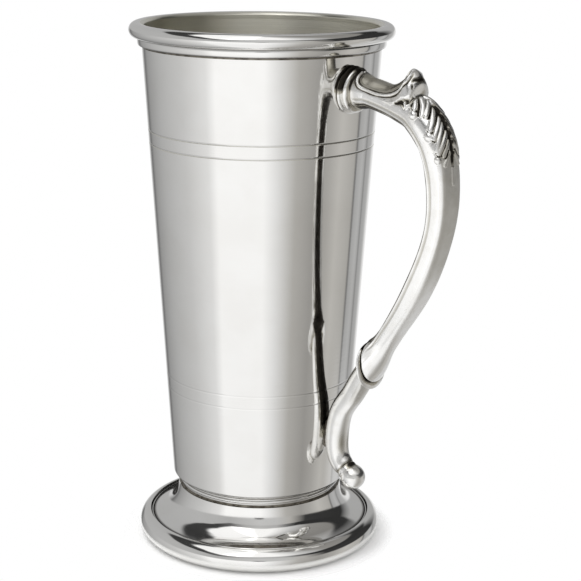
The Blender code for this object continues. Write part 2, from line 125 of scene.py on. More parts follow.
camera = add_object("camera", bpy.data.cameras.new("camera"))
camera.data.sensor_width = SENSOR_MM
camera.data.lens = FOCAL_PIXELS / IMAGE_PIXELS * SENSOR_MM
camera.data.clip_start = 0.01
turn = Matrix((right, top, -ahead)).transposed().to_4x4()
place = spot(0, CAMERA_DISTANCE, CAMERA_HEIGHT)
camera.matrix_world = Matrix.Translation(place) @ turn
scene.camera = camera
print(f"lens {camera.data.lens:.1f} mm at {tuple(round(v, 4) for v in place)}")

# %% [markdown]
# ## Writing nodes as sums
# Shader and geometry trees are long to wire by hand. A small class wraps an output socket, so that
# `1 - mask` adds a Math node, and one method adds any other node: its settings first, then its sockets.


# %% A socket that can be added and multiplied
class Link:
    """An output socket that takes part in Python sums."""

    def __init__(self, graph, socket):
        self.graph, self.socket = graph, socket

    def maths(self, operation, *terms):
        return self.graph.add("ShaderNodeMath", {"operation": operation}, dict(enumerate(terms)))

    def __add__(self, other):
        return self.maths("ADD", self, other)

    def __sub__(self, other):
        return self.maths("SUBTRACT", self, other)

    def __rsub__(self, other):
        return self.maths("SUBTRACT", other, self)

    def __mul__(self, other):
        return self.maths("MULTIPLY", self, other)

    def __truediv__(self, other):
        return self.maths("DIVIDE", self, other)

    def __pow__(self, other):
        return self.maths("POWER", self, other)

    __radd__ = __add__
    __rmul__ = __mul__


print("sums of sockets ready")


# %% A tree that adds any node
class Graph:
    """A node tree with one method that adds any node."""

    def __init__(self, tree):
        self.tree = tree

    def add(self, kind, settings=None, sockets=None, out=0):
        node = self.tree.nodes.new(kind)
        for name, value in (settings or {}).items():
            if name == "stops":
                fill_ramp(node.color_ramp, value)
            else:
                setattr(node, name, value)
        for key, value in (sockets or {}).items():
            if isinstance(value, Link):
                self.tree.links.new(value.socket, node.inputs[key])
            else:
                node.inputs[key].default_value = value
        return Link(self, node.outputs[out]) if node.outputs else None

    def other(self, link, out):
        """Another output of the node that a link comes from."""
        return Link(self, link.socket.node.outputs[out])

    def between(self, low, high, value):
        """0 below low, 1 above high, and a soft step between them."""
        settings = {"interpolation_type": "SMOOTHSTEP"}
        return self.add("ShaderNodeMapRange", settings, {0: value, 1: low, 2: high})

    def blend(self, mask, first, second):
        """Mix two colours by a mask."""
        return self.add("ShaderNodeMix", {"data_type": "RGBA"}, {0: mask, 6: first, 7: second}, out=2)

    def noise(self, place, scale, detail):
        return self.add("ShaderNodeTexNoise", {}, {"Vector": place, "Scale": scale, "Detail": detail})

    def bump(self, strength, distance, height):
        sockets = {"Strength": strength, "Distance": distance, "Height": height}
        return self.add("ShaderNodeBump", {}, sockets)

    def attribute(self, name):
        """A number that the mesh keeps for each of its points."""
        return self.add("ShaderNodeAttribute", {"attribute_name": name}, {}, out="Fac")


def fill_ramp(ramp, stops):
    """Each stop is a place and a colour."""
    while len(ramp.elements) < len(stops):
        ramp.elements.new(1.0)
    for element, (place, colour) in zip(ramp.elements, stops):
        element.position, element.color = place, colour


print("node helpers ready")

# %% [markdown]
# ## Polished pewter
# Pewter is a tin alloy. Buffed, it is nearly as bright as silver, with a slightly warm grey, faint rings from
# the lathe and soft cloudy smears from the buffing wheel. A plain mirror would look like chrome. Here a noise
# stretched round the axis gives the rings as a very shallow bump, and a large noise varies the gloss.


# %% Start and close a finish
def new_finish(name):
    material = bpy.data.materials.new(name)
    material.use_nodes = True
    material.node_tree.nodes.clear()
    return material, Graph(material.node_tree)


def close_finish(graph, sockets):
    """The metal shader and the material's output."""
    shader = graph.add("ShaderNodeBsdfPrincipled", {}, {"Metallic": 1.0, **sockets})
    graph.add("ShaderNodeOutputMaterial", {}, {"Surface": shader})


print("finishes can be started and closed")

# %% Find the marks of the lathe
RING_DRIFT, RING_RADIAL = 14, 0.6       # how fast a mark changes round the axis; its share on level faces


def place_on_axis(graph):
    """Object coordinates seen from the barrel's axis, with their parts."""
    place = graph.add("ShaderNodeTexCoord", {}, {}, out="Object")
    centred = graph.add("ShaderNodeVectorMath", {"operation": "SUBTRACT"}, {0: place, 1: (AXIS_X, 0, 0)})
    x = graph.add("ShaderNodeSeparateXYZ", {}, {0: centred})
    return centred, x, graph.other(x, 1), graph.other(x, 2)


def lathe_rings(graph, x, y, z, fineness):
    """A noise that hardly changes round the axis, like the marks a lathe leaves."""
    radius = (x * x + y * y) ** 0.5
    mark = graph.add("ShaderNodeCombineXYZ", {}, {
        0: x * RING_DRIFT, 1: y * RING_DRIFT, 2: (z + radius * RING_RADIAL) * fineness})
    return graph.noise(mark, 1.0, 3.0)


print("marks change", RING_DRIFT, "times a metre round the axis")

# %% Make the polished finish
BRIGHT, CLOUDED, TARNISH_AND_SHADE = (0.87, 0.865, 0.85, 1), (0.84, 0.832, 0.812, 1), (0.06, 0.054, 0.046, 1)
POLISH_RINGS = 1500                     # lathe marks across a metre


def polished_finish():
    material, graph = new_finish("buffed_pewter")
    place, x, y, z = place_on_axis(graph)
    rings = lathe_rings(graph, x, y, z, POLISH_RINGS)
    smears = graph.noise(place, 55.0, 4.0)
    # Darker in the hollows: patina in the cut lines and grooves, and painted shadow at the rim band's lower edge.
    hollow = graph.attribute("patina")
    dark = graph.between(0.0, 0.9, hollow + 0.3 * (smears - 0.5) * hollow)
    tint = graph.blend(graph.between(0.35, 0.7, smears), BRIGHT, CLOUDED)
    tint = graph.blend(dark, tint, TARNISH_AND_SHADE)
    bump = graph.bump(0.03, 0.0004, rings)
    gloss = 0.045 + 0.05 * smears + 0.2 * dark
    close_finish(graph, {"Base Color": tint, "Roughness": gloss, "Normal": bump})
    return material


buffed_pewter = polished_finish()
print("buffed pewter:", len(buffed_pewter.node_tree.nodes), "nodes")

# %% [markdown]
# ## Brushed inside
# The inside of the barrel is not buffed. It keeps the fine scratches of the abrasive that ran round the wall,
# and light spreads across such scratches: a lamp becomes an upright streak. The shader's anisotropy does
# that, turned a quarter so that the spread crosses the scratches, and a ring noise makes the scratches seen.

# %% Make the brushed finish
BRUSHED, SCRATCHED = (0.86, 0.84, 0.75, 1), (0.74, 0.725, 0.64, 1)
FINE_SCRATCHES, BROAD_SCRATCHES = 2600, 420
QUARTER_TURN = 0.25


def brushed_finish():
    material, graph = new_finish("brushed_pewter")
    _, x, y, z = place_on_axis(graph)
    fine = lathe_rings(graph, x, y, z, FINE_SCRATCHES)
    broad = lathe_rings(graph, x, y, z, BROAD_SCRATCHES)
    tint = graph.blend(fine, BRUSHED, SCRATCHED)
    bump = graph.bump(0.10, 0.0004, fine + 0.5 * broad)
    close_finish(graph, {"Base Color": tint, "Roughness": 0.24 + 0.12 * broad, "Normal": bump,
                         "Anisotropic": 0.9, "Anisotropic Rotation": QUARTER_TURN})
    return material


brushed_pewter = brushed_finish()
print("brushed pewter:", len(brushed_pewter.node_tree.nodes), "nodes")

# %% [markdown]
# ## Turning on a lathe with Geometry Nodes
# Five pieces and four solder seams are figures of turning: one outline, carried round the axis. Blender has a
# Screw modifier for this, but a node tree shows the rule itself. A grid has one row for each outline point and
# one column for each step round the axis; every grid point looks up its outline point and swings it round.


# %% Build the lathe tree
def lathe_tree():
    tree = bpy.data.node_groups.new("turn_on_lathe", "GeometryNodeTree")
    for name, kind in (("Outline", "NodeSocketGeometry"), ("Steps", "NodeSocketInt"),
                       ("Axis X", "NodeSocketFloat"), ("Finish", "NodeSocketMaterial")):
        tree.interface.new_socket(name, in_out="INPUT", socket_type=kind)
    tree.interface.new_socket("Piece", in_out="OUTPUT", socket_type="NodeSocketGeometry")
    graph = Graph(tree)
    outline = graph.add("NodeGroupInput")
    steps, axis_x, material = (graph.other(outline, key) for key in ("Steps", "Axis X", "Finish"))

    rows = graph.add("GeometryNodeAttributeDomainSize", {}, {0: outline})
    columns = steps + 1
    grid = graph.add("GeometryNodeMeshGrid", {}, {"Vertices X": rows, "Vertices Y": columns})
    index = graph.add("GeometryNodeInputIndex")
    row = (index / columns).maths("FLOOR", index / columns)
    angle = (index - row * columns) / steps * math.tau

    here = graph.add("GeometryNodeInputPosition")
    point = graph.add("GeometryNodeSampleIndex", {"data_type": "FLOAT_VECTOR"},
                      {"Geometry": outline, "Value": here, "Index": row})
    radius = graph.add("ShaderNodeSeparateXYZ", {}, {0: point})
    height = graph.other(radius, 2)
    swung = graph.add("ShaderNodeCombineXYZ", {}, {
        0: axis_x + radius * angle.maths("COSINE", angle), 1: radius * angle.maths("SINE", angle), 2: height})
    shaped = graph.add("GeometryNodeSetPosition", {}, {"Geometry": grid, "Position": swung})
    closed = graph.add("GeometryNodeMergeByDistance", {}, {"Geometry": shaped, "Distance": 2e-6})
    real = graph.add("GeometryNodeRealizeInstances", {}, {"Geometry": closed})
    dressed = graph.add("GeometryNodeSetMaterial", {}, {"Geometry": real, "Material": material})
    graph.add("NodeGroupOutput", {}, {0: dressed})
    return tree


LATHE = lathe_tree()
LATHE_INPUTS = {item.name: item.identifier for item in LATHE.interface.items_tree if item.in_out == "INPUT"}
print("lathe tree:", len(LATHE.nodes), "nodes, inputs", list(LATHE_INPUTS))

# %% [markdown]
# A long straight wall next to a small curve shades badly, because the smooth normals of the curve bleed along
# the wall. `held` puts a point close to each end of every long run, so the bleeding stops there.

# %% Draw outlines
LONG_RUN, HOLD = 0.0010, 0.00012


def arc(centre_r, centre_z, radius_r, radius_z, start, end, steps=14):
    """Points on an upright ellipse, angles in degrees from the outward direction."""
    angles = [math.radians(start + (end - start) * step / steps) for step in range(steps + 1)]
    return [(centre_r + radius_r * math.cos(a), centre_z + radius_z * math.sin(a)) for a in angles]


def held(outline):
    points = [outline[0]]
    for first, second in zip(outline, outline[1:]):
        run = math.dist(first, second)
        if run > LONG_RUN:
            for share in (HOLD / run, 1 - HOLD / run):
                points.append(tuple(a + (b - a) * share for a, b in zip(first, second)))
        points.append(second)
    return points


print(f"runs over {LONG_RUN * 1000:.1f} mm are held {HOLD * 1000:.2f} mm from their ends")

# %% Clean meshes and hand pieces over
SHARP_ANGLE = math.radians(38)
DOUBLE, NO_LENGTH = 1e-6, 1e-7          # points this close are one; edges this short go


def tidy_mesh(mesh, corners=True):
    """Turn faces outwards and shade them; with corners, merge doubles and mark the true corners sharp."""
    bm = bmesh.new()
    bm.from_mesh(mesh)
    if corners:
        bmesh.ops.remove_doubles(bm, verts=bm.verts, dist=DOUBLE)
        bmesh.ops.dissolve_degenerate(bm, dist=NO_LENGTH, edges=bm.edges)
    bmesh.ops.recalc_face_normals(bm, faces=bm.faces)
    bm.to_mesh(mesh)
    bm.free()
    mesh.shade_smooth()
    if corners:
        mesh.set_sharp_from_angle(angle=SHARP_ANGLE)


def hand_over(piece, slot, *nodes):
    """Hang the piece on the frame's root body and hide the solids that it stands for."""
    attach(piece, "root")
    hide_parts(*nodes)
    print(f"{piece.name}: {len(piece.data.polygons)} faces for {', '.join(nodes)}")


print(f"corners over {math.degrees(SHARP_ANGLE):.0f} degrees are sharp")

# %% Mark the hollows
BEHIND_HANDLE = 12, 30                  # degrees from the handle: the lines are darkened most up to the first, not at all from the second


def ease(low, high, value):
    """0 below low, 1 above high, and a soft step between them."""
    t = np.clip((value - low) / (high - low), 0, 1)
    return t * t * (3 - 2 * t)


def keep_values(mesh, name, values):
    """Keep one number for each point of a mesh, for its material."""
    mesh.attributes.new(name, "FLOAT", "POINT").data.foreach_set("value", values.astype(np.float32))


def mark_hollows(mesh, hollows, near_handle):
    """Keep how deep each point lies in a hollow (radius, height, reach, strength), more of it near the handle,
    for the material to darken by.
    """
    spots = np.empty(len(mesh.vertices) * 3)
    mesh.vertices.foreach_get("co", spots)
    x, y, z = spots.reshape(-1, 3).T
    radius, depth = np.hypot(x - AXIS_X, y), np.zeros(len(x))
    for hollow_r, hollow_z, reach, strength in hollows:
        depth = np.maximum(depth, strength * (1 - np.hypot(radius - hollow_r, z - hollow_z) / reach))
    handle_nearness = 1 - ease(*BEHIND_HANDLE, np.degrees(np.abs(np.arctan2(y, x - AXIS_X))))
    keep_values(mesh, "patina", depth * (1 + near_handle * handle_nearness))


print("polish is poor up to", BEHIND_HANDLE[0], "degrees from the handle")

# %% Turn an outline into a finished piece
TURN_STEPS = 240


def turned(name, outline, finish, hollows=(), closed=True, near_handle=0.0):
    """Run the lathe tree on an outline; an open outline ends on the axis."""
    points = held(outline + outline[:1] if closed else outline)
    source = bpy.data.meshes.new(name + "_outline")
    source.from_pydata([(r, 0, z) for r, z in points], [], [])
    blank = add_object(name + "_blank", source)
    modifier = blank.modifiers.new("lathe", "NODES")
    modifier.node_group = LATHE
    for key, value in (("Steps", TURN_STEPS), ("Axis X", AXIS_X), ("Finish", finish)):
        modifier[LATHE_INPUTS[key]] = value
    depsgraph = bpy.context.evaluated_depsgraph_get()
    mesh = bpy.data.meshes.new_from_object(blank.evaluated_get(depsgraph))
    bpy.data.objects.remove(blank)
    mesh.materials.pop(index=0)         # the empty slot of the grid
    tidy_mesh(mesh)
    mark_hollows(mesh, hollows, near_handle)
    mesh.name = name
    return add_object(name, mesh)


print("lathe ready:", TURN_STEPS, "steps a turn")

# %% [markdown]
# ## Barrel
# The barrel is spun from one disc: a closed bottom with a turned corner, a straight taper, and two pairs of
# lines cut with a graver while it ran on the lathe. The outline goes up the outside, over the cut edge and
# down the inside. Faces that look at the axis get the brushed finish.

# %% Draw the barrel's outline
LINE_MIDDLES, LINE_SPACING = (BARREL_Z + 0.0361, BARREL_TOP_Z - 0.0357), 0.00225
LINE_HEIGHTS = [middle + side * LINE_SPACING for middle in LINE_MIDDLES for side in (-1, 1)]
LINE_HALF, LINE_DEPTHS = 0.00030, [0.00006, 0.00007, 0.00013, 0.00013]
LINE_SECTION = [(-1, 0), (-0.35, 0.9), (0, 1), (0.35, 0.9), (1, 0)]      # shares of half width and depth


def barrel_outline():
    corner_z = BARREL_Z + BARREL_CORNER
    points = [(0.0, BARREL_Z)]
    points += arc(wall_radius(corner_z) - BARREL_CORNER, corner_z, BARREL_CORNER, BARREL_CORNER, -90, 0)
    for z, cut in zip(LINE_HEIGHTS, LINE_DEPTHS):
        for share, depth in LINE_SECTION:
            height = z + share * LINE_HALF
            points.append((wall_radius(height) - depth * cut, height))
    points += [(BARREL_TOP_RADIUS, BARREL_TOP_Z), (BARREL_TOP_RADIUS - BARREL_WALL, BARREL_TOP_Z)]
    floor_z = BARREL_Z + BARREL_FLOOR
    fillet = BARREL_CORNER - BARREL_WALL / 2
    inner = wall_radius(floor_z + fillet) - BARREL_WALL - fillet
    points += arc(inner, floor_z + fillet, fillet, fillet, 0, -90, 8)
    return points + [(0.0, floor_z)]


print("barrel outline:", len(barrel_outline()), "points")

# %% Turn the barrel and brush its inside
LINE_SHADE = 2500                       # patina for each metre of depth
AXIS_FACING, FLOOR_FACING = -0.2, 0.3   # how far an inner face has to look at the axis, or up

line_hollows = [(wall_radius(z), z, LINE_HALF, LINE_SHADE * cut) for z, cut in zip(LINE_HEIGHTS, LINE_DEPTHS)]
spun_barrel = turned("spun_barrel", barrel_outline(), buffed_pewter, line_hollows, closed=False, near_handle=3.0)


def brush_inside(piece):
    """Give the faces that look at the axis, and the floor inside, the brushed finish."""
    piece.data.materials.append(brushed_pewter)
    for face in piece.data.polygons:
        spoke = Vector((face.center.x - AXIS_X, face.center.y, 0))
        faces_axis = face.normal.dot(spoke) < AXIS_FACING * spoke.length
        on_floor = face.normal.z > FLOOR_FACING and face.center.z < BARREL_TOP_Z - BARREL_WALL
        if faces_axis or on_floor:
            face.material_index = 1


brush_inside(spun_barrel)
hand_over(spun_barrel, "polished_pewter", "barrel")

# %% [markdown]
# ## Rim mount
# A turned ring stiffens the drinking edge: a full rolled lip over a plain, slightly crowned band. The crease
# between them is never polished out. The top slopes inwards so that it drains into the mug.

# %% Turn the rim mount
LIP_HEIGHT, LIP_FALL, LIP_LAP = 0.0050, 0.0012, 0.0002      # the band starts a little way up under the lip
MOUNT_WALL, BAND_CROWN, BAND_EDGE = 0.0012, 0.00025, 0.00022
BAND_RADIUS, BAND_TOP_Z = BARREL_TOP_RADIUS + MOUNT_WALL - BAND_CROWN, RIM_TOP_Z - LIP_HEIGHT + LIP_LAP


def rim_outline():
    lip = LIP_HEIGHT / 2
    lip_r = RIM_RADIUS - lip
    inner_r = BARREL_TOP_RADIUS - BARREL_WALL
    band_half = (BAND_TOP_Z - MOUNT_Z - BAND_EDGE) / 2
    points = arc(lip_r, RIM_TOP_Z - LIP_FALL, lip_r - inner_r, LIP_FALL, 180, 90)
    points += arc(lip_r, RIM_TOP_Z - lip, lip, lip, 90, -64, 28)[1:]
    points += arc(BAND_RADIUS, BAND_TOP_Z - band_half, BAND_CROWN, band_half, 80, -70, 12)
    points += arc(BAND_RADIUS - BAND_EDGE, MOUNT_Z + BAND_EDGE, BAND_EDGE, BAND_EDGE, 0, -90, 5)
    return points + [(wall_radius(MOUNT_Z), MOUNT_Z), (BARREL_TOP_RADIUS, BARREL_TOP_Z), (inner_r, BARREL_TOP_Z)]


# The crease under the lip keeps patina. The dark at the band's lower edge is partly patina and partly painted
# shadow under the band.
rim_hollows = [(BAND_RADIUS, BAND_TOP_Z, 0.0008, 1.0), (BAND_RADIUS, MOUNT_Z, 0.0005, 0.8)]
turned_rim = turned("turned_rim_mount", rim_outline(), buffed_pewter, rim_hollows)
brush_inside(turned_rim)
hand_over(turned_rim, "polished_pewter", "rim_mount")

# %% [markdown]
# ## Foot
# The foot is a spun trumpet with a half-round bead turned round its edge. A low recessed collar joins it to
# the barrel. Between skirt and bead two fine grooves leave a thread standing, and that thread is what makes
# the edge look crisp.

# %% Turn the collar
COLLAR_SWELL, COLLAR_HALF = 0.00045, 0.0006

collar_outline = [(COLLAR_BORE, SKIRT_TOP_Z), (COLLAR_RADIUS, SKIRT_TOP_Z)]
collar_outline += arc(COLLAR_RADIUS, (SKIRT_TOP_Z + BARREL_Z) / 2, COLLAR_SWELL, COLLAR_HALF, -90, 90, 10)
collar_outline += [(COLLAR_RADIUS, BARREL_Z), (COLLAR_BORE, BARREL_Z)]
collar_hollows = [(COLLAR_RADIUS, z, 0.0013, 1.0) for z in (SKIRT_TOP_Z, BARREL_Z)]
neck_collar = turned("neck_collar", collar_outline, buffed_pewter, collar_hollows)
hand_over(neck_collar, "polished_pewter", "foot_collar")

# %% Turn the skirt
SKIRT_BORE = COLLAR_BORE - 0.0013
SKIRT_STEEP, SKIRT_LEVEL = (0.05, 0.70), (0.38, 0.14)   # the curve's handles, shares of flare and fall


def bezier(a, b, c, d, steps):
    points = []
    for step in range(steps + 1):
        t = step / steps
        weights = ((1 - t) ** 3, 3 * t * (1 - t) ** 2, 3 * t * t * (1 - t), t ** 3)
        points.append(tuple(sum(w * p[i] for w, p in zip(weights, (a, b, c, d))) for i in (0, 1)))
    return points


def skirt_curve(wall, steps):
    first, first_z, edge_z = SKIRT_TOP_RADIUS - wall, SKIRT_TOP_Z - wall, SKIRT_EDGE_Z - wall
    fall, flare = first_z - edge_z, SKIRT_EDGE_RADIUS - first
    steep = (first + SKIRT_STEEP[0] * flare, first_z - SKIRT_STEEP[1] * fall)
    level = (first + SKIRT_LEVEL[0] * flare, edge_z + SKIRT_LEVEL[1] * fall)
    return bezier((first, first_z), steep, level, (SKIRT_EDGE_RADIUS, edge_z), steps)


skirt_outline = [(SKIRT_BORE, SKIRT_TOP_Z)] + skirt_curve(0.0, 36) + skirt_curve(SKIRT_WALL, 20)[::-1]
skirt_outline.append((SKIRT_BORE, SKIRT_TOP_Z - SKIRT_WALL))
skirt_hollows = [(SKIRT_EDGE_RADIUS, SKIRT_EDGE_Z - 0.0002, 0.0011, 1.0)]
trumpet_skirt = turned("trumpet_skirt", skirt_outline, buffed_pewter, skirt_hollows)
hand_over(trumpet_skirt, "polished_pewter", "foot_skirt")

# %% Turn the bead
CREST_RADIUS = BEAD_RADIUS - BEAD_SWELL
GROOVE_Z, LEDGE_Z = SKIRT_EDGE_Z - 0.0006, SKIRT_EDGE_Z - SKIRT_WALL
GROOVE_SIDE, GROOVE_IN, GROOVE_RISE = 0.00012, 0.00026, 0.0003      # its side and bottom, inwards of the crest
THREAD_IN, THREAD_HALF, THREAD_DROP = 0.00062, 0.00028, 0.00012


def bead_outline():
    half = BEAD_HEIGHT / 2
    points = [(BEAD_BORE, 0.0)] + arc(CREST_RADIUS, half, BEAD_SWELL, half, -90, 90, 40)
    points += [(CREST_RADIUS - GROOVE_SIDE, GROOVE_Z + GROOVE_RISE), (CREST_RADIUS - GROOVE_IN, GROOVE_Z)]
    points += arc(CREST_RADIUS - THREAD_IN, SKIRT_EDGE_Z - THREAD_DROP, THREAD_HALF, THREAD_HALF, 0, 180, 8)
    return points + [(SKIRT_EDGE_RADIUS, GROOVE_Z), (SKIRT_EDGE_RADIUS, LEDGE_Z), (BEAD_BORE, LEDGE_Z)]


bead_hollows = [(r, GROOVE_Z, 0.0012, 1.2) for r in (CREST_RADIUS - GROOVE_IN, SKIRT_EDGE_RADIUS)]
base_bead = turned("base_bead", bead_outline(), buffed_pewter, bead_hollows)
hand_over(base_bead, "polished_pewter", "foot_bead")

# %% [markdown]
# ## Solder seams
# Pewter pieces are joined with a low-melting solder that runs into the corner and sets as a hollow fillet. It
# is never buffed right into the corner, so it stays duller and keeps some tarnish.

# %% Make the solder finish and the seams
SOLDER, STAINED_SOLDER = (0.24, 0.22, 0.185, 1), (0.13, 0.115, 0.095, 1)
SOLDER_LEG = 0.0007


def solder_finish():
    material, graph = new_finish("tarnished_solder")
    place = graph.add("ShaderNodeTexCoord", {}, {}, out="Object")
    blotch = graph.noise(place, 420.0, 4.0)
    grain = graph.noise(place, 2600.0, 2.0)
    stain = graph.between(0.42, 0.64, blotch)
    tint = graph.blend(stain, SOLDER, STAINED_SOLDER)
    bump = graph.bump(0.25, 0.0002, grain)
    close_finish(graph, {"Base Color": tint, "Roughness": 0.30 + 0.22 * stain, "Normal": bump})
    return material


tarnished_solder = solder_finish()


def seam(name, corner_r, corner_z, side, rise, node):
    """A hollow fillet in the corner of two pieces; side and rise, 1 or -1, say which way it opens."""
    start = 90 + 90 * side
    hollow = arc(corner_r + side * SOLDER_LEG, corner_z + rise * SOLDER_LEG, SOLDER_LEG, SOLDER_LEG,
                 start, start + 90 * side * rise, 8)
    piece = turned(name, [(corner_r, corner_z)] + hollow, tarnished_solder)
    hand_over(piece, "pewter_solder", node)


seam("seam_under_rim", wall_radius(MOUNT_Z), MOUNT_Z, 1, -1, "rim_solder")
seam("seam_over_collar", COLLAR_RADIUS, BARREL_Z, 1, -1, "collar_upper_solder")
seam("seam_under_collar", COLLAR_RADIUS, SKIRT_TOP_Z, 1, 1, "collar_lower_solder")
seam("seam_inside_bead", BEAD_BORE, LEDGE_Z, -1, -1, "bead_solder")

# %% [markdown]
# ## The handle's centre line
# The handle is one casting, shaped like a swan's neck: out from the rim, a thumb rest, a long arm, a knop and
# a tail that touches the barrel again and curls away in a ball. Everything on it is measured along its centre
# line, a smooth curve through a few knots, each with a drop, a distance from the barrel and a bar radius.

# %% Trace the centre line
SEAT = 0.0011                           # the first knot's distance from the wall
ROOT_Z, CONTACT_Z = BARREL_TOP_Z - 0.0170, BARREL_Z + 0.0215
REACH, NECK, LEAF, ARM, ARM_FOOT, TAIL, BALL = 0.0407, 0.0050, 0.0059, 0.0050, 0.0042, 0.0040, 0.0043
TOUCH = TAIL + 0.0005                   # the centre line's distance from the wall where the tail touches it
KNOTS = [       # drop as a share of the way to the tail's contact, distance from the wall, radius of the bar
    (0.000, SEAT, NECK), (-0.003, 0.199 * REACH, NECK), (0.007, 0.366 * REACH, NECK),
    (0.021, 0.528 * REACH, 1.04 * NECK), (0.043, 0.710 * REACH, LEAF), (0.120, 0.907 * REACH, LEAF),
    (0.243, REACH, (LEAF + ARM) / 2), (0.361, 0.978 * REACH, ARM), (0.513, 0.823 * REACH, ARM),
    (0.659, 0.585 * REACH, ARM_FOOT), (0.747, 0.423 * REACH, ARM_FOOT), (0.852, 0.256 * REACH, TAIL),
    (0.918, 0.030 * REACH + TOUCH, TAIL), (1.000, TOUCH, TAIL), (1.061, 0.044 * REACH + TOUCH, 0.95 * TAIL),
    (1.105, 0.204 * REACH + TOUCH, 0.85 * TAIL)]
HORN_KNOT, KNOP_KNOT, FINE = 3, 10, 60
KNOP_PAST_KNOT = 0.0009


def centre_line():
    """Fine samples of x, z and bar radius, with the length along the curve."""
    knots = []
    for drop, off, bar in KNOTS:
        z = ROOT_Z - drop * (ROOT_Z - CONTACT_Z)
        knots.append((wall_radius(z) + off, z, bar))
    knots = np.array(knots)
    spans = np.hypot(*np.diff(knots[:, :2], axis=0).T)
    ahead_of = np.minimum(np.arange(len(knots)) + 1, len(knots) - 1)
    behind = np.maximum(np.arange(len(knots)) - 1, 0)
    travel = np.concatenate(([0], np.cumsum(spans)))
    slopes = (knots[ahead_of] - knots[behind]) / (travel[ahead_of] - travel[behind])[:, None]
    samples = []
    for i, span in enumerate(spans):
        t = (np.arange(FINE) / FINE)[:, None]
        samples.append((2 * t ** 3 - 3 * t ** 2 + 1) * knots[i] + (3 * t ** 2 - 2 * t ** 3) * knots[i + 1]
                       + span * (t ** 3 - 2 * t ** 2 + t) * slopes[i] + span * (t ** 3 - t ** 2) * slopes[i + 1])
    samples = np.concatenate(samples + [knots[-1:]])
    length = np.concatenate(([0], np.cumsum(np.hypot(*np.diff(samples[:, :2], axis=0).T))))
    return samples, length


line, line_length = centre_line()
line_slope = np.gradient(line[:, :2], line_length, axis=0)
TOTAL = line_length[-1]
HORN_AT, KNOP_AT = line_length[HORN_KNOT * FINE], line_length[KNOP_KNOT * FINE] + KNOP_PAST_KNOT
print(f"handle {TOTAL * 1000:.1f} mm long, thumb rest at {HORN_AT * 1000:.1f}, knop at {KNOP_AT * 1000:.1f}")

# %% [markdown]
# ## Sections of the casting
# The skin is a net: stations along the line, closer where the form changes fast, and points round each
# station. An angle of 0 faces away from the barrel. Each feature is then a small height over that net, and
# the heights are simply added: rings at the root, the flared sheath, the knop, and the ball at the end. Small
# functions of length and angle say where a feature begins, ends and peaks.

# %% Lay out the net
SIDES, CROWDING = 168, 0.25             # points round a station, closer on the back
ROOT_RING, STEP_RING, NOSE_LENGTH, LEAF_LENGTH = 0.0014, 0.0021, 0.0052, 0.0290
FLANGE = ROOT_RING + STEP_RING
CHIN_AT = HORN_AT + NOSE_LENGTH
SPANS = [(0, FLANGE, 34), (FLANGE, CHIN_AT - 0.001, 120), (CHIN_AT - 0.001, CHIN_AT + LEAF_LENGTH, 200),
         (CHIN_AT + LEAF_LENGTH, KNOP_AT - 0.004, 60), (KNOP_AT - 0.004, KNOP_AT + 0.003, 46),
         (KNOP_AT + 0.003, TOTAL - BALL, 64), (TOTAL - BALL, TOTAL, 18)]
stations = np.concatenate([np.linspace(a, b, n, endpoint=False) for a, b, n in SPANS] + [[TOTAL]])
even = math.tau * (np.arange(SIDES) / SIDES - 0.5)
turns = even - CROWDING * np.sin(even)
along, angle = stations[:, None], turns[None, :]
bar = np.interp(stations, line_length, line[:, 2])[:, None]
turn_size = np.abs(angle)
degrees = np.degrees(turn_size)
left = TOTAL - along


def stretch(value, start, full, fading, gone):
    """0 up to start, 1 from full to fading, 0 again from gone."""
    return ease(start, full, value) * (1 - ease(fading, gone, value))


def back_to(fading, gone):
    """1 on the bar's back up to one angle in degrees, 0 from another one."""
    return 1 - ease(fading, gone, degrees)


def bell(value, middle, half):
    """A soft ridge across a value, 1 in its middle."""
    return np.exp(-((value - middle) / half) ** 2)


def strongest(*layers):
    """The highest of several layers at each point of the net."""
    return np.maximum.reduce(np.broadcast_arrays(*layers))


print("net:", len(stations), "stations by", SIDES, "sides")

# %% Flatten the arm
KNOP_RADIUS, KNOP_RING = 0.0073, 0.0028
SHEATH_RADIUS, SHEATH_LENGTH = 0.0062, 0.0115
SHEATH_END = KNOP_AT - KNOP_RING / 2
SHEATH_START = SHEATH_END - SHEATH_LENGTH
ARM_WIDTH, ARM_DEPTH, ARM_BACK = 0.97, 0.65, (0.72, 0.82)   # shares of the bar's radius
ARM_FILLS = 0.055, 0.085                                    # where the back fills out, along the line
ARM_SQUARENESS, BACK_SQUARENESS = 6, 3.4                    # 2 would be an oval

flat = stretch(along, CHIN_AT + 0.30 * LEAF_LENGTH, CHIN_AT + 0.85 * LEAF_LENGTH,
               SHEATH_START - SHEATH_LENGTH, SHEATH_START + SHEATH_LENGTH / 2)


def flat_bar():
    """The bar's own section: round at the neck and the tail, a flat rounded bar between them."""
    wide = np.abs(np.sin(angle)) / ARM_WIDTH
    back = ARM_BACK[0] + (ARM_BACK[1] - ARM_BACK[0]) * ease(*ARM_FILLS, along)
    deep = np.maximum(np.cos(angle) / back, -np.cos(angle) / ARM_DEPTH)
    power = ARM_SQUARENESS + (BACK_SQUARENESS - ARM_SQUARENESS) * back_to(75, 100)
    return bar * flat * ((wide ** power + deep ** power) ** (-1 / power) - 1)


lift = flat_bar()
print(f"arm flattened by up to {-lift.min() * 1000:.1f} mm")

# %% Raise the turned features
ROOT_RADIUS, STEP_RADIUS, NECK_FLARE = 0.0084, 0.0079, 0.0014
SHEATH_SWELL, KNOP_SWELL = 0.0013, 0.0011                   # both are fuller on the outer side


def half_round(centre, thickness):
    """Section of a half-round ring, 1 on its crest."""
    return np.sqrt(np.clip(1 - (2 * (along - centre) / thickness) ** 2, 0, None))


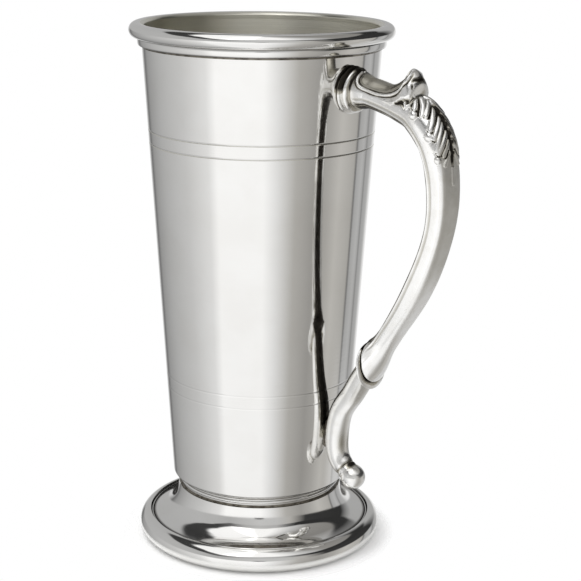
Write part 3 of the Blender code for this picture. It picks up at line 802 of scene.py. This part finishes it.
sheath = np.where(along <= SHEATH_END, ease(SHEATH_START, SHEATH_END, along) ** 2, 0)
knop = half_round(KNOP_AT, KNOP_RING)
ball = np.where(left < BALL, np.sqrt(np.clip(BALL ** 2 - left ** 2, 0, None)) - bar, 0)
lift += strongest(
    (ROOT_RADIUS - bar) * half_round(0.35 * ROOT_RING, 1.3 * ROOT_RING),
    (STEP_RADIUS - bar) * half_round(ROOT_RING + STEP_RING / 2, STEP_RING),
    NECK_FLARE * (1 - ease(FLANGE, 2.4 * FLANGE, along)),
    (KNOP_RADIUS - bar) * knop, (SHEATH_RADIUS - bar) * sheath, ball)
lift += np.clip(np.cos(angle), 0, None) * (SHEATH_SWELL * sheath + KNOP_SWELL * knop)
# Painted dark on the top of the root ring, on the step after it and on the back of the crest.
flange_top = back_to(62, 104)
root_shade = 1 - ease(0.8 * ROOT_RING, 1.15 * ROOT_RING, along)
step_shade = bell(along, FLANGE + 0.0001, 0.00055)
crest_shade = (1 - ease(FLANGE - 0.0002, FLANGE + 0.0004, along)) * back_to(15, 50)
patina = strongest(root_shade * flange_top, step_shade * (0.45 + 0.55 * flange_top), 0.6 * crest_shade)
print(f"turned features stand up to {lift.max() * 1000:.1f} mm proud of the bar")

# %% [markdown]
# ## Thumb rest
# The thumb lies in a saddle that climbs to a hooked tip. A raised border runs round the saddle like a piped
# edge, and below the tip the casting curls under into a small hood with a slanting lower edge. The border is
# a ridge along a curve drawn on the net: its height depends only on the distance from that curve.

# %% Raise the saddle
HORN_TIP = HORN_AT + 0.0008
HORN_RISE, HORN_LEAD, HORN_SWEEP, NOSE_FULLNESS = 0.0076, 0.0078, 2.4, 2.6
HORN_SLANT, HORN_ROUND = 0.0034, 0.75       # the saddle's flank climbs later than its middle

crest = np.clip(np.cos(angle), 0, None) ** HORN_ROUND
climb = np.clip(1 - (HORN_TIP + HORN_SLANT * (1 - crest) - along) / HORN_LEAD, 0, 1)
past = np.clip((along - HORN_TIP) / (CHIN_AT - HORN_TIP), 0, 1)
horn = HORN_RISE * crest * np.minimum(climb ** HORN_SWEEP, np.sqrt(1 - past ** NOSE_FULLNESS))
print(f"thumb rest up to {horn.max() * 1000:.1f} mm high")


# %% Measure from a path on the net
def rounded(path):
    """Cut the corners of a path three times, which turns it into a smooth curve."""
    path = np.array(path)
    for _ in range(3):
        first, second = path[:-1], path[1:]
        cut = np.stack([0.75 * first + 0.25 * second, 0.25 * first + 0.75 * second], axis=1)
        path = np.concatenate([path[:1], cut.reshape(-1, 2), path[-1:]])
    return path


def distance_to(path, scale):
    """Distance of every net point from a path of (length, degrees) points, mirrored on both flanks."""
    best = np.full((along.size, angle.size), 1.0)
    spot_a, spot_b = along + 0 * angle, scale * turn_size + 0 * along
    for (a0, d0), (a1, d1) in zip(path, path[1:]):
        b0, b1 = scale * math.radians(d0), scale * math.radians(d1)
        run = max((a1 - a0) ** 2 + (b1 - b0) ** 2, 1e-12)
        share = np.clip(((spot_a - a0) * (a1 - a0) + (spot_b - b0) * (b1 - b0)) / run, 0, 1)
        best = np.minimum(best, np.hypot(spot_a - a0 - share * (a1 - a0), spot_b - b0 - share * (b1 - b0)))
    return best


print("paths can be rounded and measured from")

# %% Raise the border
BORDER = [                                  # length along the line, degrees
    (0.0043, 6), (0.0046, 28), (0.0050, 48), (0.0062, 64), (0.0082, 70), (0.0119, 72), (0.0145, 67),
    (0.0174, 59), (0.0203, 55), (0.0221, 53), (0.0229, 45), (0.0230, 32), (0.0226, 16), (0.0219, 0)]
BORDER_RISE, BORDER_HALF, BORDER_GAP, BORDER_CUT = 0.00045, 0.00042, 0.00070, 0.00020
BORDER_FAR_END = 0.015                      # from here on the border dies out on the back
RIDGE_RISE, RIDGE_GAP, RIDGE_HALF = 0.00018, 0.0016, 0.00035

from_border = distance_to(rounded(BORDER), NECK)
to_tip = np.where(along > BORDER_FAR_END, ease(12, 38, degrees), 1)
border = to_tip * bell(from_border, 0, BORDER_HALF)
border_groove = to_tip * bell(from_border, BORDER_GAP, 0.32 * BORDER_GAP)
border_turn = np.interp(along, *np.array(BORDER).T)
saddle = stretch(along, 0.0050, 0.0062, HORN_TIP + 0.0004, HORN_TIP + 0.0012) \
    * back_to(border_turn - 12, border_turn - 4)
inner_ridge = bell(from_border, RIDGE_GAP, RIDGE_HALF) * saddle
lift += BORDER_RISE * border + RIDGE_RISE * inner_ridge - BORDER_CUT * border_groove
patina = strongest(patina, 0.85 * border_groove)
# Painted reflection: the saddle is painted dull grey where it mirrors darker surroundings.
dull = 0.95 * saddle
print(f"border {BORDER_RISE * 1000:.2f} mm high along {len(BORDER)} points")

# %% Raise the hood and the nose
HOOD_RISE, HOOD_CUT, POCKET_CUT, DIMPLE_CUT = 0.0005, 0.0003, 0.0009, 0.0003
HOOD_EDGE = [                               # degrees, length from the chin
    (0, 0.0), (43, 0.0), (54, -0.0002), (60, -0.0005), (66, -0.0008), (70, -0.0011), (72, -0.0016),
    (75, -0.0022), (77, -0.0033), (79, -0.0048), (84, -0.0062)]
CREASE_FROM, CREASE_STEP, CREASE_CUT, CREASE_DEEPER = 0.0037, 0.0006, 0.00012, 0.0002

chin = CHIN_AT + np.interp(degrees, *np.array(HOOD_EDGE).T)
hood = stretch(along, chin - 0.006, chin - 0.0012, chin - 0.0003, chin + 0.0004) \
    * stretch(degrees, 15, 60, 78, 90)
hood_groove = bell(along, chin + 0.0004, 0.00035) * back_to(70, 77)
pocket_half = 1.2 + 3.2 * np.clip((along - CHIN_AT + 0.0048) / 0.0045, 0, 1)     # degrees, more towards the leaf
pocket = stretch(along, chin, chin + 0.0005, CHIN_AT - 0.0006, CHIN_AT + 0.0002) \
    * bell(degrees, 80, pocket_half)
nose_crease = bell(along, HORN_AT + CREASE_FROM + CREASE_STEP * back_to(8, 36), 0.0003) * back_to(30, 44)
dimple = bell(along, CHIN_AT - 0.0009, 0.0003) * bell(turn_size * LEAF, math.radians(40) * LEAF, 0.0004)
lift += HOOD_RISE * hood - HOOD_CUT * hood_groove - POCKET_CUT * pocket - DIMPLE_CUT * dimple
lift -= (CREASE_CUT + CREASE_DEEPER * ease(10, 24, degrees)) * nose_crease
patina = strongest(patina, 0.8 * hood_groove, pocket, 0.9 * nose_crease, dimple)
print(f"hood edge slants by {np.ptp(chin) * 1000:.1f} mm")

# %% [markdown]
# ## Leaf
# From under the hood an acanthus leaf runs down the back of the arm: rows of rounded fingers that sweep off a
# midrib and end in small knobs on the flank. It could be sculpted, but every finger follows the same rule, so
# one function draws a finger from its root to its tip, and a table lists where the tips are.

# %% Draw the fingers and the knobs
LEAF_GAP, FULLNESS = 0.0005, 1.18
ROOT_WIDTH, ROOT_HEIGHT, KNOB_HEIGHT = 0.70, 0.55, 1.15     # shares of a finger's width and height at its tip
FINGERS = [  # root along the leaf and its angle, tip along the leaf and its angle, half width
    (0.0003, 33, -0.0004, 75, 0.00078), (0.0000, 18, 0.0024, 60, 0.00062), (0.0000, 2, 0.0053, 55, 0.00088),
    (0.0022, 3, 0.0061, 47, 0.00070), (0.0044, 3, 0.0102, 58, 0.00092), (0.0072, 3, 0.0127, 58, 0.00082),
    (0.0090, 8, 0.0159, 64, 0.00088), (0.0114, 6, 0.0169, 57, 0.00082), (0.0136, 8, 0.0177, 42, 0.00075),
    (0.0164, 10, 0.0204, 42, 0.00068), (0.0207, 0, 0.0262, 0, 0.00110)]
KNOBS = [(0.0031, 71, 0.00145), (0.0112, 66, 0.00145), (0.0183, 61, 0.00110)]   # along, angle, radius


def finger(root_along, root_degrees, tip_along, tip_degrees, half):
    """One finger, 1 at its top, and how near a point lies to it."""
    run_a = tip_along - root_along
    run_b = math.radians(tip_degrees - root_degrees) * LEAF
    length = math.hypot(run_a, run_b)
    axis_a, axis_b = run_a / length, run_b / length
    spot_a = along - CHIN_AT - root_along + 0 * angle
    spot_b = (turn_size - math.radians(root_degrees)) * LEAF + 0 * along
    share = (spot_a * axis_a + spot_b * axis_b) / length
    beside = spot_b * axis_a - spot_a * axis_b
    round_end = np.sqrt(np.clip(1 - (np.clip(share - 1 + half / length, 0, None) * length / half) ** 2, 0, 1))
    grown = np.clip(share, 0, 1)
    width = np.where(share > 0, FULLNESS * half * (ROOT_WIDTH + (1 - ROOT_WIDTH) * grown) * round_end, 0)
    near = np.clip(1 - (beside / np.maximum(width, 1e-6)) ** 2, 0, None)
    height = np.where(width > 0, np.sqrt(near) * (ROOT_HEIGHT + (1 - ROOT_HEIGHT) * grown), 0)
    beyond = np.clip(np.abs(beside) - width, 0, None)
    return height, bell(beyond, 0, LEAF_GAP) * stretch(share, -0.10, 0.05, 1.0, 1.0 + LEAF_GAP / length)


def knob(at, knob_degrees, size):
    """A round knob at the end of a group of fingers."""
    off = np.hypot(along - CHIN_AT - at, (turn_size - math.radians(knob_degrees)) * LEAF)
    height = KNOB_HEIGHT * np.sqrt(np.clip(1 - (off / size) ** 2, 0, 1))
    return height, bell(np.clip(off - size, 0, None), 0, LEAF_GAP)


heights, reaches = zip(*[finger(*row) for row in FINGERS], *[knob(*row) for row in KNOBS])
print(len(FINGERS), "fingers and", len(KNOBS), "knobs on each flank")

# %% Raise the leaf
LEAF_RISE, LEAF_CUT, VALLEY = 0.0012, 0.00025, 0.0009
LEAF_FADE, TIP_FADE = 0.60, 0.4         # the relief gets lower towards the leaf's end

leaf_along = (along - CHIN_AT) / LEAF_LENGTH
valley = np.clip(1.6 * bell(turn_size * LEAF, 0, VALLEY), 0, 1) * stretch(leaf_along, 0.08, 0.16, 0.62, 0.76)
fade = (1 - LEAF_FADE * np.clip(leaf_along, 0, 1)) * (1 - TIP_FADE * ease(0.5, 0.7, leaf_along))
leaf = strongest(*heights) * fade
between = np.sort(np.array(reaches), axis=0)[-2]        # only where two fingers meet
ground = strongest(np.clip(1.5 * between, 0, 1) * (1 - 0.65 * ease(0.56, 0.70, leaf_along)), valley)
beyond_chin = ease(0.0002, 0.0006, along - chin)
lift += beyond_chin * (LEAF_RISE * leaf - LEAF_CUT * ground * (leaf < 0.1))
patina = strongest(patina, beyond_chin * strongest(ground * np.clip(1.2 - 2.2 * leaf, 0, 1), valley))
print(f"leaf of {2 * len(FINGERS)} fingers, {LEAF_LENGTH * 1000:.0f} mm long")

# %% [markdown]
# ## Arm, knop and tail
# The arm is a flat bar whose back meets the flanks in a soft arris, which parts the light flank from the
# darker back: the back has a satin finish, and near the leaf it is painted duller, as shade. The
# inner edge carries a thin bead, and the face behind it is left as cast. A fine groove is cut above the knop.

# %% Shape the arm and the tail
BEAD_RISE, LINE_CUT, ARRIS_RISE, KNOP_CUT, BALL_CUT = 0.00035, 0.00010, 0.00025, 0.0005, 0.0003
# Each line has its angle on a round bar, how much closer to the back it lies on the flat bar, and its half width.
BEAD_TURN, LINE_TURN, UNDER_TURN = (119, 8, 4.5), (110, 7, 4), (132, 14.5, 3.5)


def along_edge(turn, closer, half):
    """A ridge along the inner edge, which lies closer to the back where the bar is flat."""
    return bell(degrees, turn - closer * flat, half)


bar_part = stretch(along, 1.1 * FLANGE, 1.6 * FLANGE, SHEATH_END - 0.006, SHEATH_END - 0.002)
tail_edge = stretch(along, KNOP_AT + 0.0025, KNOP_AT + 0.005, TOTAL - 0.024, TOTAL - 0.018)
inner_bead, inner_line = along_edge(*BEAD_TURN) * bar_part, along_edge(*LINE_TURN) * bar_part
under_line = along_edge(*UNDER_TURN) * np.maximum(bar_part, tail_edge)
inner_face = ease(134, 144, degrees) * stretch(along, FLANGE, 1.5 * FLANGE, TOTAL - 0.020, TOTAL - 0.012)
near_root = 1 - ease(0.012, 0.026, along)
# Painted shade: the upper back of the arm is painted duller near the leaf.
upper_back = stretch(along, CHIN_AT + 0.010, CHIN_AT + 0.018, 0.074, 0.092) * back_to(50, 56)
below_knop = stretch(along, *(KNOP_AT + step for step in (0.003, 0.005, 0.012, 0.018))) * back_to(58, 68)
above_ball = bell(left, 0.0150, 0.0048) * bell(degrees, 27, 21)
satin = flat * back_to(45, 70)
arris = stretch(along, *(KNOP_AT + step for step in (0.0022, 0.004, 0.010, 0.016))) * bell(degrees, 52, 14)
knop_groove = bell(along, SHEATH_END + 0.0001, 0.00045)
knop_foot = bell(along, KNOP_AT + 0.0017, 0.0004)
ball_seam = bell(left, BALL, 0.0005)
# Painted reflection: a dark patch on the ball's outer side, where it mirrors dark surroundings.
ball_reflection = bell(left, 0.7 * BALL, 0.0012) * back_to(15, 55)
lift += BEAD_RISE * inner_bead + ARRIS_RISE * arris
lift -= LINE_CUT * inner_line + KNOP_CUT * knop_groove + BALL_CUT * ball_seam
patina = strongest(patina, (0.75 + 0.2 * near_root) * under_line, 0.8 * inner_face, knop_groove, 0.6 * knop_foot,
                   0.8 * ball_reflection, 0.5 * ball_seam)
dull = strongest(dull, 0.8 * inner_line, 0.5 * upper_back, 0.35 * below_knop, 0.95 * above_ball)
print(f"knop groove at {SHEATH_END * 1000:.1f} mm, ball from {(TOTAL - BALL) * 1000:.1f} mm")

# %% [markdown]
# ## From net to casting
# The heights become points: out from the centre line, leaning over at the knop, and wrapped on to the barrel
# at the root so that the flange follows the wall. The depth of the hollows is kept as an attribute, because
# that is where polish never reaches and the metal stays dark. The same attribute also holds painted dark
# places and painted reflections, and a second one holds dull metal and painted shade.

# %% Wrap points on to the wall and join rings
def on_wall(y, z, stand_off):
    """Points at a height, aside of the handle's middle and a little off the barrel's wall."""
    radius = wall_radius(z) + stand_off
    return np.stack([np.sqrt(np.maximum(radius ** 2 - y ** 2, 0)), y + 0 * radius, z + 0 * y], axis=-1)


def net_mesh(name, rings, poles):
    """Quads between neighbouring rings of points, and a fan to a pole at the last and at the first ring."""
    count, sides = len(rings), len(rings[0])
    points = np.concatenate([*rings, np.array(poles)])
    points[:, 0] += AXIS_X
    pairs = [(s, (s + 1) % sides) for s in range(sides)]
    faces = [(low + a, low + b, low + sides + b, low + sides + a)
             for low in range(0, (count - 1) * sides, sides) for a, b in pairs]
    last, pole = (count - 1) * sides, count * sides
    faces += [(last + a, last + b, pole) for a, b in pairs] + [(b, a, pole + 1) for a, b in pairs]
    mesh = bpy.data.meshes.new(name)
    mesh.from_pydata(points.tolist(), [], faces)
    return mesh


print("seat of the handle at", on_wall(0.0, ROOT_Z, 0.0).round(4).tolist())

# %% Place the casting's points
KNOP_TILT = math.radians(47)
ROOT_BACK, ROOT_NARROW, ROOT_STAND_OFF = 0.06, 0.15, 0.0004     # the oval root's shares; its seat off the wall
BALL_STEPS = 18


def casting_points():
    x, z = (np.interp(stations, line_length, line[:, i])[:, None] for i in (0, 1))
    tx, tz = (np.interp(stations, line_length, line_slope[:, i])[:, None] for i in (0, 1))
    size = np.hypot(tx, tz)
    tx, tz = tx / size, tz / size
    lean = KNOP_TILT * (1 - ease(0, SHEATH_LENGTH, np.abs(along - KNOP_AT)))
    nx = -np.cos(lean) * tz + np.sin(lean) * tx
    nz = np.cos(lean) * tx + np.sin(lean) * tz
    radius = bar + lift
    back = np.cos(angle)
    oval = 1 - ease(FLANGE, 2.2 * FLANGE, along)
    out = radius * back * (1 - ROOT_BACK * oval * (1 - back)) + horn
    side = radius * np.sin(angle) * (1 - ROOT_NARROW * oval)
    free = np.stack([x + nx * out, side, z + nz * out], axis=-1)
    seated = on_wall(side, z + out, ROOT_STAND_OFF)
    seated[..., 0] += along
    share = ease(0.8 * FLANGE, 2.4 * FLANGE, along)[..., None]
    loops = list(seated + (free - seated) * share)
    end = np.array([x[-1, 0], 0, z[-1, 0]])
    tangent, normal = np.array([tx[-1, 0], 0, tz[-1, 0]]), np.array([-tz[-1, 0], 0, tx[-1, 0]])
    spoke = np.cos(turns)[:, None] * normal + np.sin(turns)[:, None] * np.array([0, 1, 0])
    for step in range(1, BALL_STEPS):
        tip = 0.5 * math.pi * step / BALL_STEPS
        loops.append(end + BALL * (math.sin(tip) * tangent + math.cos(tip) * spoke))
    return loops, end + BALL * tangent


loops, ball_pole = casting_points()
print("casting:", len(loops), "rings of", SIDES, "points")

# %% Build the casting
mesh = net_mesh("cast_handle", loops, [ball_pole, on_wall(0.0, ROOT_Z, 0.0)])
for name, values in (("patina", patina), ("dull", dull), ("satin", satin)):
    keep_values(mesh, name, np.append(values.ravel(), np.zeros(len(mesh.vertices) - values.size)))
tidy_mesh(mesh, corners=False)
cast_handle = add_object("cast_handle", mesh)
print("casting:", len(mesh.polygons), "faces, patina up to", round(float(patina.max()), 2))

# %% [markdown]
# ## Cast pewter
# A casting is buffed only where the wheel reaches. The high places are bright but softer than the spun
# barrel, with a fine grain and a few pin holes from the mould; the hollows keep a dark skin. The patina
# attribute parts the two, broken up by a noise so that its edge is not drawn with a ruler. It also holds
# painted dark places on the flange and a painted reflection on the ball, and the dull attribute holds the
# saddle's painted reflection and painted shade on the arm's back.

# %% Make the cast finish and hand the casting over
CAST_BRIGHT, CAST_CLOUDED, UNBUFFED_AND_SHADE = (0.93, 0.925, 0.91, 1), (0.89, 0.88, 0.855, 1), (0.42, 0.40, 0.34, 1)
WORN_SKIN_AND_SHADE, DARK_SKIN_AND_SHADE = (0.50, 0.475, 0.41, 1), (0.035, 0.031, 0.026, 1)


def cast_finish():
    material, graph = new_finish("cast_pewter_skin")
    place = graph.add("ShaderNodeTexCoord", {}, {}, out="Object")
    # The first attribute holds patina with painted shade and reflections; the second holds dull metal with
    # painted shade.
    depth, unbuffed_and_shade, satin_back = (graph.attribute(name) for name in ("patina", "dull", "satin"))
    cloud = graph.noise(place, 240.0, 5.0)
    grain = graph.noise(place, 1900.0, 3.0)
    holes = graph.add("ShaderNodeTexVoronoi", {}, {"Vector": place, "Scale": 620.0})
    pits = 1 - graph.between(0.06, 0.16, holes)
    unsure = 4 * depth * (1 - depth)
    skin_and_shade = depth + (0.25 + 1.1 * unsure) * (cloud - 0.5)
    dark = graph.between(0.34, 0.74, skin_and_shade)
    tint = graph.blend(graph.between(0.4, 0.65, cloud), CAST_BRIGHT, CAST_CLOUDED)
    tint = graph.blend(unbuffed_and_shade * (0.8 + 0.4 * cloud), tint, UNBUFFED_AND_SHADE)
    tint = graph.blend(graph.between(0.12, 0.34, skin_and_shade), tint, WORN_SKIN_AND_SHADE)
    tint = graph.blend(dark, tint, DARK_SKIN_AND_SHADE)
    bump = graph.bump(0.22, 0.00025, 0.35 * grain + 0.5 * cloud - 0.8 * pits)
    gloss = 0.16 + 0.10 * cloud + 0.25 * dark + 0.10 * unbuffed_and_shade + 0.25 * satin_back
    close_finish(graph, {"Base Color": tint, "Roughness": gloss, "Normal": bump})
    return material


cast_handle.data.materials.append(cast_finish())
hand_over(cast_handle, "cast_pewter", "handle_casting")

# %% [markdown]
# ## Solder behind the handle
# The root flange and the tail sit on a film of solder that follows the barrel's wall. Only its edge shows, as
# a thin dull line. Each film is a small cushion: a disc on the wall and the same disc lifted to the casting.

# %% Lay the solder films
FILM_SIDES, FILM_SHARES = 64, (0.25, 0.5, 0.75, 0.93, 1.0)      # points round the film, its rings
FILM_SUNK, FILM_THICK, FILM_THINS = -0.0001, 0.0012, 0.0004     # off the wall; it thins towards its edge


def solder_film(name, centre_z, half_height, half_width, node):
    around = math.tau * np.arange(FILM_SIDES) / FILM_SIDES
    rounds = [(share, FILM_SUNK) for share in FILM_SHARES]
    rounds += [(share, FILM_THICK - FILM_THINS * share ** 6) for share in FILM_SHARES[::-1]]
    rings = [on_wall(share * half_width * np.sin(around), centre_z + share * half_height * np.cos(around), off)
             for share, off in rounds]
    mesh = net_mesh(name, rings, [on_wall(0.0, centre_z, off) for off in (FILM_THICK, FILM_SUNK)])
    tidy_mesh(mesh)
    mesh.materials.append(tarnished_solder)
    hand_over(add_object(name, mesh), "pewter_solder", node)


solder_film("film_behind_root", ROOT_Z, 0.0072, 0.0066, "handle_root_solder")
solder_film("film_behind_tail", CONTACT_Z, 0.0050, 0.0013, "handle_tail_solder")

# %% [markdown]
# ## Studio
# A mirror finish is lit by what stands round it and shows in it, not by lamps alone. The world holds a studio
# tent: pale walls with a few narrow gaps, a dark open side on the right, a bright roof, and a dark seam where
# roof and walls meet. Low down it shows the ground, which is paler behind the handle. Only glossy rays see the
# tent; every other ray sees plain white. The tones are set for the picture's view: a bearing that mirrors in
# the barrel, the rim or the foot has about the tone that is seen there, rounded and then adjusted.

# %% List the screens
PLAIN, WARM = (1.0, 1.0, 1.0), (1.0, 0.975, 0.93)
# Each row has a bearing in degrees from the camera, positive to its right, a tone and perhaps a tint.
FOOT_SCREENS = [(-180, 0.85), (-165, 0.62), (-155, 0.16), (-145, 0.33), (-120, 0.47), (-84, 0.63), (-56, 0.85),
                (-46, 1.10), (2, 1.10), (16, 0.86), (36, 0.49, WARM), (58, 0.36, WARM), (74, 0.44, WARM),
                (88, 0.56, WARM), (104, 0.48, WARM), (112, 0.44, WARM), (114.5, 0.10), (117, 0.42), (128, 0.50),
                (133, 0.42), (136, 0.25), (139, 0.40), (150, 0.46), (160, 0.80), (175, 0.90)]
WALL_SCREENS = [(-180, 0.45), (-150, 0.46), (-90, 0.50), (-60, 0.50), (-40, 0.47), (-20, 0.55), (0, 0.62),
                (24, 0.58), (42, 0.48, WARM), (56, 0.20, WARM), (64, 0.04), (132, 0.03), (152, 0.42)]
ROOF_SCREENS = [(-180, 0.70), (-140, 1.05), (-42, 1.10), (-30, 1.9), (-18, 1.9), (-6, 1.10), (20, 1.1),
                (50, 0.60), (75, 0.30, WARM), (140, 0.25, WARM), (165, 0.5)]
SEAM_SCREENS = [(-180, 0.30), (-155, 0.04), (-60, 0.05), (-40, 0.13), (-20, 0.45), (0, 0.54), (24, 0.48),
                (40, 0.16), (52, 0.03), (150, 0.03), (165, 0.30)]
SEAM_LEVELS = [(-180, 0.78), (-120, 0.77), (-90, 0.69), (-70, 0.65), (-40, 0.46), (-10, 0.52), (10, 0.54),
               (40, 0.48), (58, 0.42), (90, 0.45), (150, 0.60)]     # here the tone is the seam's height


def screen_stops(screens):
    """Rows of screens as stops of a ramp; a row without a tint is plain."""
    rows = [(*row, PLAIN)[:3] for row in screens]
    return [(bearing / 360 + 0.5, (*(tone * part for part in tint), 1)) for bearing, tone, tint in rows]


print("screens:", len(FOOT_SCREENS), "low,", len(WALL_SCREENS), "on the walls,", len(ROOF_SCREENS), "in the roof")

# %% Hang the studio tent
# Soft steps between the tent's parts, as heights on a unit sphere.
WALL_FOOT, ROOF_EDGE, SEAM_LOWER, SEAM_UPPER = (-0.03, 0.05), (0.06, 0.12), (-0.13, -0.08), (0.07, 0.13)
SLIT_LOWER, SLIT_UPPER, SLIT_AHEAD = (0.0, 0.03), (0.06, 0.10), (0.990, 0.998)
NEAR_GROUND, FAR_GROUND = (0.15, 0.6), (0.33, 0.43)
GROUND_BEHIND, GROUND_ASIDE = (0.05, 0.35), (0.0, 0.2)
NEAR_SHADE, FAR_GLOW = 0.10, 0.32
BLACK, WHITE, PALE, SLIT = ((tone, tone, tone, 1) for tone in (0, 1, 1.1, 0.10))


def studio_world():
    world = bpy.data.worlds.new("studio")
    world.use_nodes = True
    world.node_tree.nodes.clear()
    graph = Graph(world.node_tree)
    ray = graph.add("ShaderNodeTexCoord", {}, {}, out="Generated")
    aside, ahead_of, height = (
        graph.add("ShaderNodeVectorMath", {"operation": "DOT_PRODUCT"}, {0: ray, 1: tuple(way)}, out="Value")
        for way in (across, towards, up))
    bearing = aside.maths("ARCTAN2", aside, ahead_of) / math.tau + 0.5
    foot, wall, roof, seam_tone, level = (
        graph.add("ShaderNodeValToRGB", {"stops": screen_stops(screens)}, {0: bearing})
        for screens in (FOOT_SCREENS, WALL_SCREENS, ROOF_SCREENS, SEAM_SCREENS, SEAM_LEVELS))
    from_seam, below = height - level, -1 * height
    foot = graph.blend(NEAR_SHADE * graph.between(*NEAR_GROUND, below), foot, BLACK)
    behind_right = graph.between(*GROUND_BEHIND, -1 * ahead_of) * graph.between(*GROUND_ASIDE, aside)
    foot = graph.blend(FAR_GLOW * behind_right * graph.between(*FAR_GROUND, below), foot, PALE)
    sight = graph.blend(graph.between(*WALL_FOOT, height), foot, wall)
    sight = graph.blend(graph.between(*ROOF_EDGE, from_seam), sight, roof)
    on_seam = graph.between(*SEAM_LOWER, from_seam) * (1 - graph.between(*SEAM_UPPER, from_seam))
    sight = graph.blend(on_seam, sight, seam_tone)
    slit = graph.between(*SLIT_LOWER, height) * (1 - graph.between(*SLIT_UPPER, height))
    sight = graph.blend(slit * graph.between(*SLIT_AHEAD, ahead_of), sight, SLIT)
    rays = graph.add("ShaderNodeLightPath", {}, {}, out="Is Glossy Ray")
    shown = graph.blend(rays, WHITE, sight)
    background = graph.add("ShaderNodeBackground", {}, {"Color": shown, "Strength": 1.0})
    graph.add("ShaderNodeOutputWorld", {}, {"Surface": background})
    return world


scene.world = studio_world()
print("tent:", len(scene.world.node_tree.nodes), "nodes")

# %% [markdown]
# ## Floor and lamps
# The floor is a pale sheet that fades out round the tankard, so that the metal can see the low screens beyond
# it. It keeps the soft shadow under the foot. One large lamp overhead gives that shadow its direction. A small
# oval softbox beside the handle is seen only as a reflection, and lights the arm's flank.

# %% Lay the floor
FLOOR_RADIUS, FLOOR_SIDES, FLOOR_DROP = 0.17, 96, 0.00005
FLOOR_FADE, MIRRORED_FADE = (0.0436, 0.050), (0.043, 0.060)     # from the axis; the metal sees less of the floor
SHEET, FIBRE = (0.93, 0.93, 0.925, 1), (0.95, 0.95, 0.95, 1)


def floor_finish():
    material, graph = new_finish("pale_floor")
    place, x, y, _ = place_on_axis(graph)
    distance = (x * x + y * y) ** 0.5
    rays = graph.add("ShaderNodeLightPath", {}, {}, out="Is Glossy Ray")
    fade = graph.between(*FLOOR_FADE, distance)
    fade = fade.maths("MAXIMUM", fade, rays * graph.between(*MIRRORED_FADE, distance))
    tint = graph.blend(graph.noise(place, 300.0, 3.0), SHEET, FIBRE)
    sheet = graph.add("ShaderNodeBsdfDiffuse", {}, {"Color": tint})
    clear = graph.add("ShaderNodeBsdfTransparent")
    mixed = graph.add("ShaderNodeMixShader", {}, {0: fade, 1: sheet, 2: clear})
    graph.add("ShaderNodeOutputMaterial", {}, {"Surface": mixed})
    return material


bm = bmesh.new()
bmesh.ops.create_circle(bm, cap_ends=True, radius=FLOOR_RADIUS, segments=FLOOR_SIDES,
                        matrix=Matrix.Translation((AXIS_X, 0, -FLOOR_DROP)))
floor_mesh = bpy.data.meshes.new("floor")
bm.to_mesh(floor_mesh)
bm.free()
floor_mesh.materials.append(floor_finish())
floor = add_object("floor", floor_mesh)
print(f"floor {FLOOR_RADIUS} m in radius, gone {FLOOR_FADE[1]} m from the axis")

# %% Hang the lamps
SIDE_SIZE, SIDE_GLOW, SIDE_SPREAD = (0.090, 0.120), 0.22, math.radians(130)     # the spread spares the barrel
SIDE_PLACE, SIDE_AIM = (-0.010, 0.085, 0.102), (0.990, 0.085, 0.102)
OVERHEAD_SIZE, OVERHEAD_WATTS = (0.7, 0.5), 3.0
OVERHEAD_PLACE, OVERHEAD_AIM = (-0.25, 0.1, 0.95), (0, 0, 0.08)


def softbox(name, shape, size, watts, place, aim):
    """An area lamp; its place and its aim are aside of the axis, towards the camera, up."""
    lamp = add_object(name, bpy.data.lights.new(name, "AREA"))
    lamp.data.shape, lamp.data.energy = shape, watts
    lamp.data.size, lamp.data.size_y = size
    lamp.location = spot(*place)
    lamp.rotation_euler = (spot(*aim) - spot(*place)).to_track_quat("-Z", "Y").to_euler()
    return lamp


side_watts = SIDE_GLOW * math.pi * (math.pi / 4 * SIDE_SIZE[0] * SIDE_SIZE[1])
side = softbox("side_softbox", "ELLIPSE", SIDE_SIZE, side_watts, SIDE_PLACE, SIDE_AIM)
side.data.spread = SIDE_SPREAD
side.visible_camera = side.visible_diffuse = side.visible_transmission = False
overhead = softbox("overhead_softbox", "RECTANGLE", OVERHEAD_SIZE, OVERHEAD_WATTS, OVERHEAD_PLACE, OVERHEAD_AIM)
overhead.visible_glossy = False
scene.view_settings.view_transform = "Standard"
print(f"lamps of {side_watts:.4f} and {OVERHEAD_WATTS} W")
